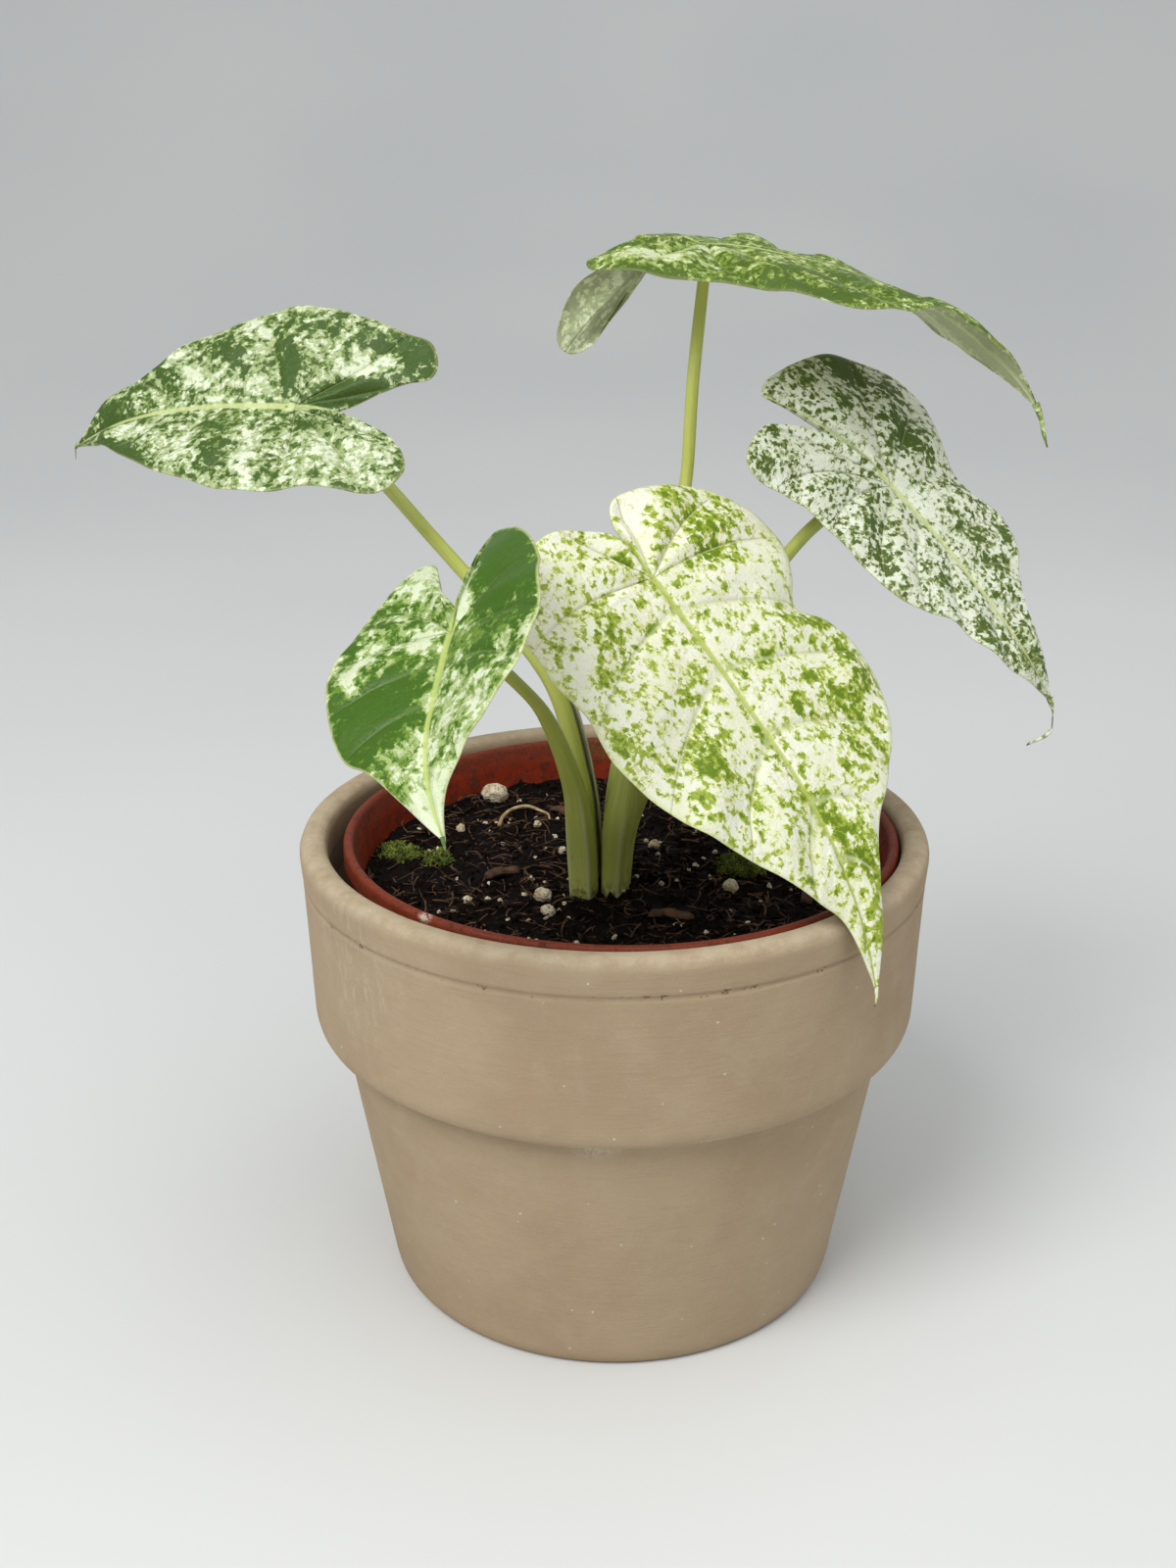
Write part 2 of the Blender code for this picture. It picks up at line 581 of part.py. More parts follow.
def make_rootlet(mat, group, ground):
    """A pale dry rootlet that arches over the potting mix."""
    last = len(ROOTLET_ROUTE) - 1
    points = []
    for i, (x, y) in enumerate(ROOTLET_ROUTE):
        rise = ROOTLET_RISE * math.sin(math.pi * i / last)
        points.append(Vector((x, y, SOIL_TOP + 10 + rise)) * MM)
    radii = (ROOTLET_RADIUS, ROOTLET_RADIUS * 0.7)
    shape = make_tube("rootlet_shape", sampled(points, 12), radii, None, group)
    mesh = made_mesh(shape)
    bpy.data.objects.remove(shape, do_unlink=True)
    item = add_object("rootlet", mesh, mat, group)
    seat_on(item, ground)
    smooth(item)
    return item


def main():
    """Build the whole plant with its pots."""
    clear_scene()
    group = new_collection("potted_alocasia")
    cutters = new_collection("cutters")
    clay = make_material("taupe_clay", (0.40, 0.33, 0.25), 0.85)
    plastic = make_material("red_plastic", (0.42, 0.09, 0.04), 0.45)
    mix = make_material("potting_mix", (0.03, 0.02, 0.012), 0.95)
    corm_skin = make_material("corm_skin", (0.16, 0.10, 0.05), 0.8)
    stem = make_material("petiole_green", (0.32, 0.38, 0.12), 0.5)
    leaf = make_material("variegated_leaf", (0.55, 0.62, 0.38), 0.45)
    sheath = make_material("dry_sheath_skin", (0.42, 0.42, 0.27), 0.7)
    perlite = make_material("perlite_white", (0.75, 0.72, 0.62), 0.9)
    moss = make_material("moss_green", (0.10, 0.16, 0.02), 0.95)
    bark = make_material("bark_brown", (0.12, 0.06, 0.03), 0.9)
    root = make_material("root_cream", (0.50, 0.42, 0.28), 0.7)

    make_cover_pot(clay, group)
    make_nursery_pot(plastic, group, cutters)
    soil = make_soil(mix, group, cutters)
    make_corm(corm_skin, group)
    for key in LEAVES:
        make_blade("blade_" + key, LEAVES[key], leaf, group)
        make_petiole("petiole_" + key, key, stem, group)
    make_sheath(sheath, group)

    graph = bpy.context.evaluated_depsgraph_get()
    graph.update()
    ground = BVHTree.FromObject(soil, graph)
    for i, (x, y, size) in enumerate(PERLITE):
        make_grain("perlite_grain_%d" % (i + 1), (x, y), (size, size * 0.9, size * 0.85), 0.25,
                   perlite, group, ground, detail=2 if size > 1.6 else 1)
    for i, (x, y, long_radius, short_radius) in enumerate(MOSS):
        make_grain("moss_tuft_%d" % (i + 1), (x, y), (long_radius, short_radius, MOSS_HEIGHT / 2),
                   0.3, moss, group, ground)
    for i, spec in enumerate(BARK):
        make_bark("bark_chip_%d" % (i + 1), spec, bark, group, ground)
    make_rootlet(root, group, ground)


main()
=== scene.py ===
import math

import bmesh
import bpy
import numpy as np
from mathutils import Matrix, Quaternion, Vector, noise


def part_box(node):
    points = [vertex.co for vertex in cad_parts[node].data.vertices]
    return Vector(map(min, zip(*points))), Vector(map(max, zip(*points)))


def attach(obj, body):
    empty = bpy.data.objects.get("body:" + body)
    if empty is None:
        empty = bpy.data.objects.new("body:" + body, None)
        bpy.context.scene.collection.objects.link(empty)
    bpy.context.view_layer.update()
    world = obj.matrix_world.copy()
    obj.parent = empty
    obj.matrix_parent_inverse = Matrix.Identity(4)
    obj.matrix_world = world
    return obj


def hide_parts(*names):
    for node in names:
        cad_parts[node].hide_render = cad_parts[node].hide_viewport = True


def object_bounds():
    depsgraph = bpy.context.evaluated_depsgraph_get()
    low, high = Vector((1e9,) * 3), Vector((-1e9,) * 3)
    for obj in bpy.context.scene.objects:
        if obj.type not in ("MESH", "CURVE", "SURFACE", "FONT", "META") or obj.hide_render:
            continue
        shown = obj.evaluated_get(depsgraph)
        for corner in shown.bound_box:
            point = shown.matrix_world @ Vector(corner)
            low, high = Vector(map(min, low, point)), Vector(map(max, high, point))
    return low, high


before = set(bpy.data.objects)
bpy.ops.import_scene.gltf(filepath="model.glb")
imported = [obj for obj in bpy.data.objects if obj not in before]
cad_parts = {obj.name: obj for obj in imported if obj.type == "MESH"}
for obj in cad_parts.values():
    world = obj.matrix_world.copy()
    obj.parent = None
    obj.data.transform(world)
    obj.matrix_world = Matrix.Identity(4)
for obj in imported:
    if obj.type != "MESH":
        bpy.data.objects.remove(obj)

CAD_BOX = [list(corner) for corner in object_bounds()]
MM = 0.001
MERGE = 0.00001

# Camera, matched to the photograph: place, tilt below level and lens on the 1600-pixel side
CAMERA_PLACE = (-0.0058, -0.3878, 0.2641)
CAMERA_TILT = 20.87
CAMERA_LENS = 42.885

# Pots, as in the CAD
NURSERY_SHIFT = (1.5, -0.5)
NURSERY_BOTTOM = 8.3
NURSERY_TOP = 106.0
NURSERY_BODY = 59.3
NURSERY_BASE = 44.0
NURSERY_WALL = 0.9
SOIL_TOP = 96.0
SOIL_RADIUS = 57.3
PETIOLE_FOOT = 95.7

# Shape of the leaf surface, as in the CAD
SPINE_STEPS = 80
SPINE_REACH = (-0.8, 1.15)
BEND_BACK = 0.6
BEND_MIDDLE = 0.5
RIB_SLANT = 1.3
CURL_SPAN = (6, 26)

# Each leaf: the first lines place and bend it as the CAD does. veins are the margin points that the
# side veins run to. dents are local hollows and humps (x, y, length, width, turn, height).
# marks are green patches (x, y, length, width, turn, how green, how dark), where a negative amount
# clears the green. ground is the overall green and its depth.
LEAVES = {
    "far_left": {
        "navel": (-68, 10, 198), "heading": 166, "pitch": 1, "roll": -39, "length": 58,
        "droop": (10, -13, -32), "swing": (0, 1, 11), "twist": (0, 0, 0),
        "fold": (7, 7), "sag": (0.4, 0.4), "hang": (0, 0), "curl": (0, 0),
        "rumple": 1.4,
        "left": [(-9, 0), (-16, 2.5), (-22, 5.5), (-26.5, 10), (-28, 15), (-26, 20), (-21, 23),
                 (-11, 23), (-1, 25), (7, 25.6), (16, 22.5), (29, 17.5), (38, 12.5), (47, 6), (58, 0)],
        "right": [(-9, 0), (-15, 3.5), (-21, 7.5), (-27, 10), (-28, 15), (-25, 20), (-18, 21.5),
                  (-9, 24), (0, 26), (8, 26), (19, 22), (31, 17), (39, 11), (49, 8), (58, 0)],
        "veins": ([0, 2.6, 5.2, 7.4, 9.2, 10.6, 11.8, 14], [0, 2.6, 5, 7.2, 9, 10.4, 11.6, 14]),
        "dents": [(-12, -4, 9, 3, 20, -1.0), (10, 14, 9, 6, 50, 0.5), (24, -12, 8, 5, -40, 0.5)],
        "ground": (0.46, 0.6),
        "marks": [(-11, -4.5, 10, 3, 20, 0.9, 0.5), (-24, -15, 5, 6, 0, 0.5, 0.4),
                  (-15, -17, 6, 2, 5, 0.5, 0.3), (-14, -11, 6, 3, 15, -0.5, 0), (4, -11, 2.5, 9, 12, 0.6, 0.4),
                  (-4, -21, 5, 3, 0, 0.35, 0.2), (18, -14, 8, 3, -50, 0.4, 0.3), (25, -8, 8, 2, -35, -0.45, 0),
                  (12, -19, 6, 1.6, -45, -0.4, 0), (34, -10, 7, 3, -40, 0.35, 0.3), (10, -5, 5, 2, -30, -0.3, 0),
                  (38, 12, 16, 2.6, -35, 0.8, 0.5), (15, 6, 4, 5, -20, 0.45, -0.2), (13, 17, 6, 2.5, -50, 0.45, 0.3),
                  (6, 17, 3, 6, 0, -0.4, 0), (40, 4, 5, 2, -30, -0.35, 0), (-4, 5, 6, 3, 30, 0.3, 0.1),
                  (-14, 13, 9, 6, 0, -0.25, -0.2), (22, 15, 3, 6, -35, -0.3, 0), (47, -3, 9, 6, 0, 0.4, 0.1)],
        "seed": 3.0,
    },
    "top": {
        "navel": (20, 30, 230), "heading": -4, "pitch": -5, "roll": 0, "length": 84,
        "droop": (8, -15, -52), "swing": (0, 0, 0), "twist": (-5, -8, -45),
        "fold": (-1, -11), "sag": (2.0, 2.5), "hang": (6, 9), "curl": (-80, 0),
        "rumple": 1.5,
        "left": [(-8, 0), (-17, 3), (-24, 6), (-29, 9), (-32, 14), (-33, 19), (-30, 22.5), (-25, 22), (-20, 18),
                 (-12, 18), (-2, 23), (12, 29), (28, 28), (44, 20), (58, 12), (72, 5), (84, 0)],
        "right": [(-8, 0), (-16, 3), (-22, 7), (-25, 12), (-24, 17), (-18, 21), (-9, 23), (3, 23), (15, 25),
                  (27, 28), (38, 27), (47, 20), (57, 11), (71, 4), (84, 0)],
        "veins": ([0, 2.6, 5, 7, 8.6, 9.8, 11, 13], [0, 2.6, 5, 7, 8.6, 9.8, 11, 13]),
        "dents": [(-11, 6, 7, 6, 0, 1.1), (10, 12, 8, 8, 0, 1.6), (-1, 9, 4, 10, 0, -0.7), (27, 12, 9, 8, 0, 1.2),
                  (-12, -17, 7, 5, 0, 1.0), (2, -17, 5, 7, 0, -0.8), (14, -19, 7, 6, 0, 1.0),
                  (26, -20, 5, 7, 0, -0.8), (36, -16, 7, 6, 0, 0.9), (46, -10, 6, 5, 0, -0.6)],
        "ground": (0.62, 0.48),
        "marks": [(-14, -24, 12, 4, 0, 0.6, 0.25), (-10, -14, 10, 4, 0, -0.6, 0), (4, -26, 8, 3, 0, 0.5, 0.4),
                  (10, -14, 12, 4, 0, 0.3, -0.1), (24, -24, 12, 4, 0, 0.6, 0.35), (28, -12, 12, 4, 0, 0.3, 0.2),
                  (40, -8, 9, 4, 0, 0.3, 0.3), (2, -6, 8, 3, 0, -0.35, 0), (64, 2, 18, 2.5, -6, 0.7, 0.4),
                  (58, 8, 10, 4, 0, -0.3, -0.2)],
        "seed": 11.0,
    },
    "right": {
        "navel": (61, 20, 179), "heading": -25, "pitch": -41, "roll": 24, "length": 62,
        "droop": (-4, -5, -37), "swing": (35, -4, 17), "twist": (0, 0, 0),
        "fold": (4, 4), "sag": (3.4, 3.4), "hang": (0, 0), "curl": (0, 0),
        "rumple": 1.2,
        "left": [(-9, 0), (-18, 0.4), (-27, 0.3), (-34.5, -0.3), (-35.4, 3), (-31, 11), (-25, 20),
                 (-19, 25), (-12, 28), (-6, 26.5), (0, 21.5), (6, 19.2), (12, 18.4), (20, 20), (27, 17.5),
                 (34, 12.5), (41, 8.2), (50, 5.8), (62, 0)],
        "right": [(-9, 0), (-18, 1), (-28, 5), (-34, 9), (-37.5, 17), (-36, 22.3), (-28, 23), (-18, 23),
                  (-5, 23), (8, 22.4), (19, 21), (27, 17), (33, 12), (39, 10.4), (46, 8), (53, 4), (62, 0)],
        "veins": ([0, 3, 6, 8, 10.4, 12.6, 14, 15.4, 18], [0, 3, 5.6, 7.6, 9, 10.2, 11.6, 13.6, 16]),
        "dents": [(-14, 14, 8, 5, 60, 0.7), (8, 19, 6, 5, 0, -1.0), (22, -17, 7, 4, 0, 0.6),
                  (36, -10, 4, 3, 0, -0.7)],
        "ground": (0.37, 0.62),
        "marks": [(-21, 20, 5, 5, 60, 0.85, 0.6), (-5, 14, 5.5, 5, 0, 0.55, 0.3), (-28, 9, 4, 4, 0, 0.4, -0.1),
                  (-18, 9, 2, 2, 0, 0.4, 0.2), (-11, 21, 3, 5, 0, 0.3, 0.3), (18, 8, 5, 3, 20, 0.35, 0.1),
                  (27, 8, 4, 3, 20, 0.45, 0.3), (24, 16, 5, 2.5, 0, 0.3, 0.3), (5, -13, 4, 4, 0, 0.42, 0.1),
                  (12, -18, 6, 2, 0, 0.4, 0.1), (24, -8, 3, 2, 0, 0.4, 0.1), (38, -7, 5, 2.5, 0, 0.5, 0),
                  (-1, -8, 2, 2, 0, 0.3, 0.1), (-31, -9, 3.5, 1.8, -15, 0.42, 0.2), (-32, -19, 4, 2.5, 0, 0.45, 0.1),
                  (-16, -18, 2, 1.5, 0, 0.35, 0.1), (50, 0, 10, 6, 0, 0.22, -0.3), (5, 2, 8, 3, 0, -0.3, -0.6),
                  (-20, -8, 8, 5, 0, -0.25, 0), (-10, 4, 6, 4, 0, -0.2, 0)],
        "seed": 23.0,
    },
    "front": {
        "navel": (7.4, -22, 169), "heading": -32, "pitch": -45, "roll": 14, "length": 95,
        "droop": (5, -1, -26), "swing": (0, -4, -16), "twist": (0, 0, 0),
        "fold": (2, 2), "sag": (1.7, 1.7), "hang": (0, 0), "curl": (0, 0),
        "rumple": 1.2,
        "left": [(-7, 0), (-14, 1), (-18.5, 5), (-18.5, 11), (-15, 23), (-10, 30), (-2, 36), (6, 38),
                 (13, 34), (19, 31), (25, 34.5), (33, 37), (41, 36.5), (51, 30), (59, 20), (66, 12.5),
                 (74, 9), (82, 5.5), (95, 0)],
        "right": [(-7, 0), (-13, 2), (-16, 8), (-18, 16), (-16, 23), (-9, 30), (-2, 36), (8, 36.4),
                  (18, 35), (29, 36), (38, 34), (48, 29.5), (57, 23), (67, 15), (74, 9), (79, 4.5),
                  (86, 2.4), (95, 0)],
        "veins": ([0, 2.4, 4.4, 6.2, 8.2, 10.4, 12.2, 13.8, 15.4, 18],
                  [0, 2.6, 5.6, 7.6, 9.8, 11.6, 13.2, 18]),
        "dents": [(19, 31, 5, 8, -20, -2.6), (-15, 5, 6, 5, 30, -1.6), (-3, 30, 8, 6, 0, 0.8),
                  (36, 30, 8, 6, -30, 0.9), (20, -28, 9, 6, 0, 0.8), (6, 14, 6, 10, 20, 0.5),
                  (45, -22, 9, 5, -35, 0.6)],
        "ground": (0.29, 0.28),
        "marks": [(-5, 20, 7, 7, 20, 0.55, 0.15), (1, 16, 2.4, 8, 0, 0.4, 0.3), (-14.5, 17, 2.6, 3.4, 0, 0.5, 0),
                  (23, 29, 7, 4, 55, 0.42, 0.2), (35, 31, 7, 4, 15, 0.5, 0.25), (43, 24, 7, 4.5, 35, 0.55, 0.2),
                  (34, 19, 6, 3, 45, 0.3, 0.1), (25, 12, 3.4, 3.6, 0, 0.42, 0.1), (38, 11, 3.4, 2.2, 0, 0.55, 0.5),
                  (51, 18, 5, 2.6, 0, 0.38, 0.2), (52, 24, 4, 3, -40, 0.3, 0.1), (66, 4, 10, 4.5, 10, 0.55, 0.1),
                  (78, 6, 9, 3, -20, 0.35, -0.3), (56, 1.5, 6, 2.4, 5, 0.4, 0.2), (43, -1, 6, 1.4, 0, 0.3, 0.2),
                  (-6, -5, 3.6, 2.2, 35, 0.42, 0.2), (9, -8, 2.2, 3.2, 20, 0.38, 0.2), (12, -12, 1.4, 1.4, 0, 0.3, 0.1),
                  (6, -20, 7, 4, 15, 0.5, 0.1), (14, -26, 3.4, 2.6, 0, 0.33, 0), (38, -18, 7.4, 5, -25, 0.55, 0.1),
                  (45, -25, 4, 3, -30, 0.3, 0), (28, -33.5, 5, 2.4, 0, 0.42, 0.1), (50, -12, 2.6, 4.2, 10, 0.36, 0.1),
                  (21, -9, 1.8, 3.2, 0, 0.3, 0.1), (-15, -8, 2, 1.6, 0, 0.3, 0.2), (30, -29, 4, 3, 0, 0.2, 0),
                  (8, 30, 9, 8, 0, -0.12, -0.2), (12, 18, 5, 10, 20, -0.12, -0.2), (-12, 5, 7, 4, 0, -0.2, -0.2)],
        "seed": 31.0,
    },
    "low_left": {
        "navel": (-30.8, -62, 169.4), "heading": -98, "pitch": -21, "roll": 27, "length": 50,
        "droop": (5, -6, -30), "swing": (0, 0, 19), "twist": (0, 0, 0),
        "fold": (10, 10), "sag": (0.1, 0.1), "hang": (0, 0), "curl": (0, 0),
        "rumple": 1.1,
        "left": [(-7, 0), (-15, 0.6), (-23, 0.8), (-30, 0.8), (-32, 3), (-27, 9.5), (-19, 15), (-7, 20),
                 (2, 22), (11, 23), (19, 21), (25, 17), (31, 12), (36, 7), (41, 3), (50, 0)],
        "right": [(-7, 0), (-13, 4), (-20, 7), (-25.5, 9), (-25, 12.5), (-15, 18), (-6, 21), (4, 23),
                  (12, 22), (20, 20), (28, 16), (33, 10), (40, 5), (50, 0)],
        "veins": ([0, 3.4, 6, 8, 9.4, 10.8, 12.4, 15], [0, 2.6, 4.6, 6.4, 8, 9.4, 10.8, 13]),
        "dents": [(-12, -3, 6, 2.4, 20, 1.2), (-8, 14, 9, 5, 20, 0.5), (10, -14, 7, 5, -30, 0.5)],
        "ground": (0.42, 0.5),
        "marks": [(-20, 8, 16, 8, 25, 0.75, 0.25), (-4, 14, 12, 9, 10, 0.75, 0.2), (-9, 17, 4, 2, 30, -0.25, -0.3),
                  (8, 9, 3.4, 9, -15, 0.4, -0.45), (14, 10, 4.4, 3.4, 20, 0.45, 0.3), (9, 20, 8, 3, 0, 0.4, 0.2),
                  (24, 8, 9, 8, 0, -0.15, -0.2), (-10, 2, 7, 1.3, 5, -0.9, 0), (-19, -9.5, 8, 4, 20, -0.35, -0.1),
                  (-7, -15, 7, 3.6, 25, 0.3, 0.2), (2, -6, 3.4, 4, 35, -0.5, 0), (5, -16, 6, 2.6, -10, -0.45, 0),
                  (-2, -21, 6, 2, 10, 0.5, 0.1), (18, -10, 12, 8, -20, 0.95, 0.15), (26, -10, 7, 6, 0, 0.4, 0.1),
                  (14, -19, 6, 2.4, 20, 0.4, 0.1), (45, 0, 10, 5, 0, -0.6, -0.4), (-6, -8, 4, 2, 30, 0.3, 0.1),
                  (9, -19, 2, 1.6, 0, -0.5, 0)],
        "seed": 47.0,
    },
}

# Petioles: routes as in the CAD. radius is the half width at the foot, above the sheath and at the top.
PETIOLES = {
    "far_left": {"route": [(-5.9, -8.4), (-6.4, -8.0, 109), (-8.0, -6.6, 122), (-13.2, -3.0, 140),
                           (-24.8, 1.0, 155), (-39.5, 6.0, 171), (-53.0, 10.0, 185)],
                 "radius": (2.6, 2.2, 1.5)},
    "top": {"route": [(-0.6, -4.3), (1.4, -2.0, 118), (7.0, 4.0, 142), (12.5, 14.0, 162),
                      (15.9, 22.0, 180), (17.2, 26.0, 201)],
            "radius": (2.6, 2.2, 1.4)},
    "right": {"route": [(0.9, -9.2), (2.4, -8.6, 109), (8.0, -5.0, 122), (17.0, 1.0, 137),
                        (26.0, 6.5, 149), (38.4, 15.0, 165), (49.0, 21.5, 173)],
              "radius": (2.6, 2.3, 1.5)},
    "front": {"route": [(-0.2, -14.6), (0.4, -14.6, 108), (2.2, -14.6, 120), (4.2, -15.0, 136),
                        (5.0, -16.5, 153)],
              "radius": (3.0, 3.5, 1.8)},
    "low_left": {"route": [(-6.4, -14.6), (-7.3, -14.8, 110), (-9.2, -16.0, 123), (-14.3, -22.0, 139),
                           (-20.0, -32.0, 150), (-26.2, -48.0, 161)],
                 "radius": (3.2, 2.5, 1.3)},
}


class Value:
    """A socket in a node tree, with arithmetic that adds Math nodes."""

    def __init__(self, graph, made, out=0):
        self.graph, self.made = graph, made
        self.socket = made.outputs[out] if made.outputs else None

    def other(self, out):
        """Another output of the same node."""
        return Value(self.graph, self.made, out)

    def math(self, operation, other, flip=False):
        pair = (other, self) if flip else (self, other)
        return self.graph.node("ShaderNodeMath", {"operation": operation}, dict(enumerate(pair)))

    def __add__(self, other):
        return self.math("ADD", other)

    def __sub__(self, other):
        return self.math("SUBTRACT", other)

    def __rsub__(self, other):
        return self.math("SUBTRACT", other, True)

    def __mul__(self, other):
        return self.math("MULTIPLY", other)

    def __truediv__(self, other):
        return self.math("DIVIDE", other)

    def __pow__(self, other):
        return self.math("POWER", other)

    def __abs__(self):
        return self.math("ABSOLUTE", 0.0)

    __radd__ = __add__
    __rmul__ = __mul__


class Graph:
    """A node tree: every node is made by node()."""

    def __init__(self, tree):
        self.tree = tree

    def node(self, kind, settings=None, sockets=None, out=0):
        """Make a node: its settings first, then the values or links of its sockets."""
        made = self.tree.nodes.new(kind)
        for key, value in (settings or {}).items():
            if key == "stops":
                for place, colour in value[1:-1]:
                    made.color_ramp.elements.new(place).color = colour
                for item, (place, colour) in zip(made.color_ramp.elements, value):
                    item.position, item.color = place, colour
            else:
                setattr(made, key, value)
        for key, value in (sockets or {}).items():
            if isinstance(value, Value):
                self.tree.links.new(value.socket, made.inputs[key])
            else:
                made.inputs[key].default_value = value
        return Value(self, made, out)

    def vector(self, operation, one, two):
        return self.node("ShaderNodeVectorMath", {"operation": operation}, {0: one, 1: two})

    def mix(self, factor, one, two):
        """A blend of two colours."""
        return self.node("ShaderNodeMix", {"data_type": "RGBA"}, {0: factor, 6: one, 7: two}, 2)

    def noise(self, where, scale, detail=4.0, rough=0.6, warp=0.0):
        return self.node("ShaderNodeTexNoise", {}, {"Vector": where, "Scale": scale, "Detail": detail,
                                                    "Roughness": rough, "Distortion": warp})

    def rise(self, value, low, high):
        """0 below low, 1 above high and smooth between."""
        return self.node("ShaderNodeMapRange", {"interpolation_type": "SMOOTHSTEP"},
                         {"Value": value, "From Min": low, "From Max": high})

    def place(self):
        """Object coordinates in millimetres."""
        spot = self.node("ShaderNodeTexCoord", {}, {}, "Object")
        return self.vector("MULTIPLY", spot, (1000.0, 1000.0, 1000.0))

    def split(self, spot):
        """The three parts of a vector."""
        parts = self.node("ShaderNodeSeparateXYZ", {}, {0: spot})
        return parts, parts.other(1), parts.other(2)

    def uv(self, name, stretch):
        """A UV map's coordinates, stretched."""
        return self.vector("MULTIPLY", self.node("ShaderNodeUVMap", {"uv_map": name}), stretch)

    def attribute(self, name):
        return self.node("ShaderNodeAttribute", {"attribute_name": name}, {}, "Fac")

    def blob(self, spot, centre, size):
        """1 at a centre, falling to 0 at an ellipsoid round it."""
        away = self.vector("SUBTRACT", spot, centre)
        away = self.vector("DIVIDE", away, size)
        far = self.node("ShaderNodeVectorMath", {"operation": "LENGTH"}, {0: away}, "Value")
        return 1.0 - self.rise(far, 0.2, 1.0)


class Finish(Graph):
    """A material under construction."""

    def __init__(self, name):
        self.material = bpy.data.materials.new(name)
        self.material.use_nodes = True
        super().__init__(self.material.node_tree)
        self.tree.nodes.clear()

    def close(self, colour, roughness, height=None, depth=0.1, **constants):
        """Finish with a Principled shader. height is in units of depth millimetres."""
        sockets = {"Base Color": colour, "Roughness": roughness}
        if height is not None:
            sockets["Normal"] = self.node("ShaderNodeBump", {}, {"Height": height, "Strength": 1.0,
                                                                 "Distance": depth * MM})
        for key, value in constants.items():
            sockets[key.replace("_", " ")] = value
        shader = self.node("ShaderNodeBsdfPrincipled", {}, sockets)
        self.node("ShaderNodeOutputMaterial", {}, {"Surface": shader})
        return self.material


def tone(red, green, blue):
    """A colour given as picture values from 0 to 255."""
    return tuple(((v / 255 + 0.055) / 1.055) ** 2.4 for v in (red, green, blue)) + (1.0,)


# Materials

def clay_finish():
    """Unglazed fired clay, grey-brown, with fine grain, pale bloom and a few mineral stains."""
    g = Finish("fired_clay")
    spot = g.place()
    x, y, z = g.split(spot)
    cloud = g.noise(spot, 0.03, 3.0, 0.55)
    patch = g.noise(spot, 0.16, 5.0, 0.65)
    lines = g.noise(g.vector("MULTIPLY", spot, (0.12, 0.12, 1.6)), 1.0, 4.0, 0.6)
    grain = g.noise(spot, 2.4, 3.0, 0.7)
    colour = g.mix(g.rise(cloud, 0.35, 0.65), tone(166, 144, 116), tone(174, 153, 125))
    colour = g.mix(g.rise(patch, 0.45, 0.75) * 0.22, colour, tone(186, 168, 142))
    colour = g.mix(g.rise(lines, 0.5, 0.72) * 0.16, colour, tone(148, 126, 100))
    colour = g.mix(g.rise(grain, 0.6, 0.72) * 0.3, colour, tone(200, 186, 162))
    colour = g.mix(g.rise(1.0 - grain, 0.62, 0.74) * 0.3, colour, tone(132, 111, 87))
    # Paler top of the rim: partly real wear, partly painted highlight where the rounded top faces the light.
    rim_wear_and_highlight = g.rise(z, 104.2, 106.4) * g.rise(patch + grain * 0.3, 0.4, 0.8)
    colour = g.mix(rim_wear_and_highlight * 0.5, colour, tone(204, 189, 162))
    bloom = g.blob(spot, (-52.0, -38.0, 92.0), (16.0, 26.0, 24.0))
    bloom = bloom * g.rise(g.noise(g.vector("MULTIPLY", spot, (1.0, 1.0, 0.35)), 0.5, 6.0, 0.75), 0.45, 0.65)
    salts = g.blob(spot, (-4.0, -62.0, 62.0), (7.0, 9.0, 4.5)) + g.blob(spot, (18.0, -60.0, 63.5), (8.0, 9.0, 3.0))
    salts = salts * g.rise(g.noise(spot, 0.9, 5.0, 0.7), 0.38, 0.62)
    colour = g.mix(bloom * 0.35 + salts * 0.55, colour, tone(212, 200, 178))
    specks = g.node("ShaderNodeTexVoronoi", {"feature": "F1"}, {"Vector": spot, "Scale": 0.22,
                                                                "Randomness": 1.0}, "Distance")
    dots = (1.0 - g.rise(specks, 0.04, 0.08)) * g.rise(patch, 0.48, 0.58)
    colour = g.mix(dots * 0.65, colour, tone(222, 212, 192))
    # Painted shade: the incised line is darkened, and its nicks, which are real dents, are darkened more.
    ring = 1.0 - g.rise(abs(z - 98.6), 0.25, 0.8)
    nick = ring * g.rise(g.noise(spot, 0.28, 4.0, 0.8), 0.59, 0.64)
    colour = g.mix(ring * 0.2 + nick * 0.5, colour, tone(104, 84, 62))
    # Darker in patches towards the foot.
    dark_patch = g.rise(1.0 - z / 100.0, 0.955, 1.0) * g.rise(patch, 0.35, 0.6)
    colour = g.mix(dark_patch * 0.3, colour, tone(132, 110, 84))
    height = grain * 0.25 + patch * 0.7 + lines * 0.3 - nick * 1.6 + (bloom + salts) * 0.3
    return g.close(colour, 0.92 - g.rise(patch, 0.4, 0.7) * 0.08, height, 0.28, Specular_IOR_Level=0.3)


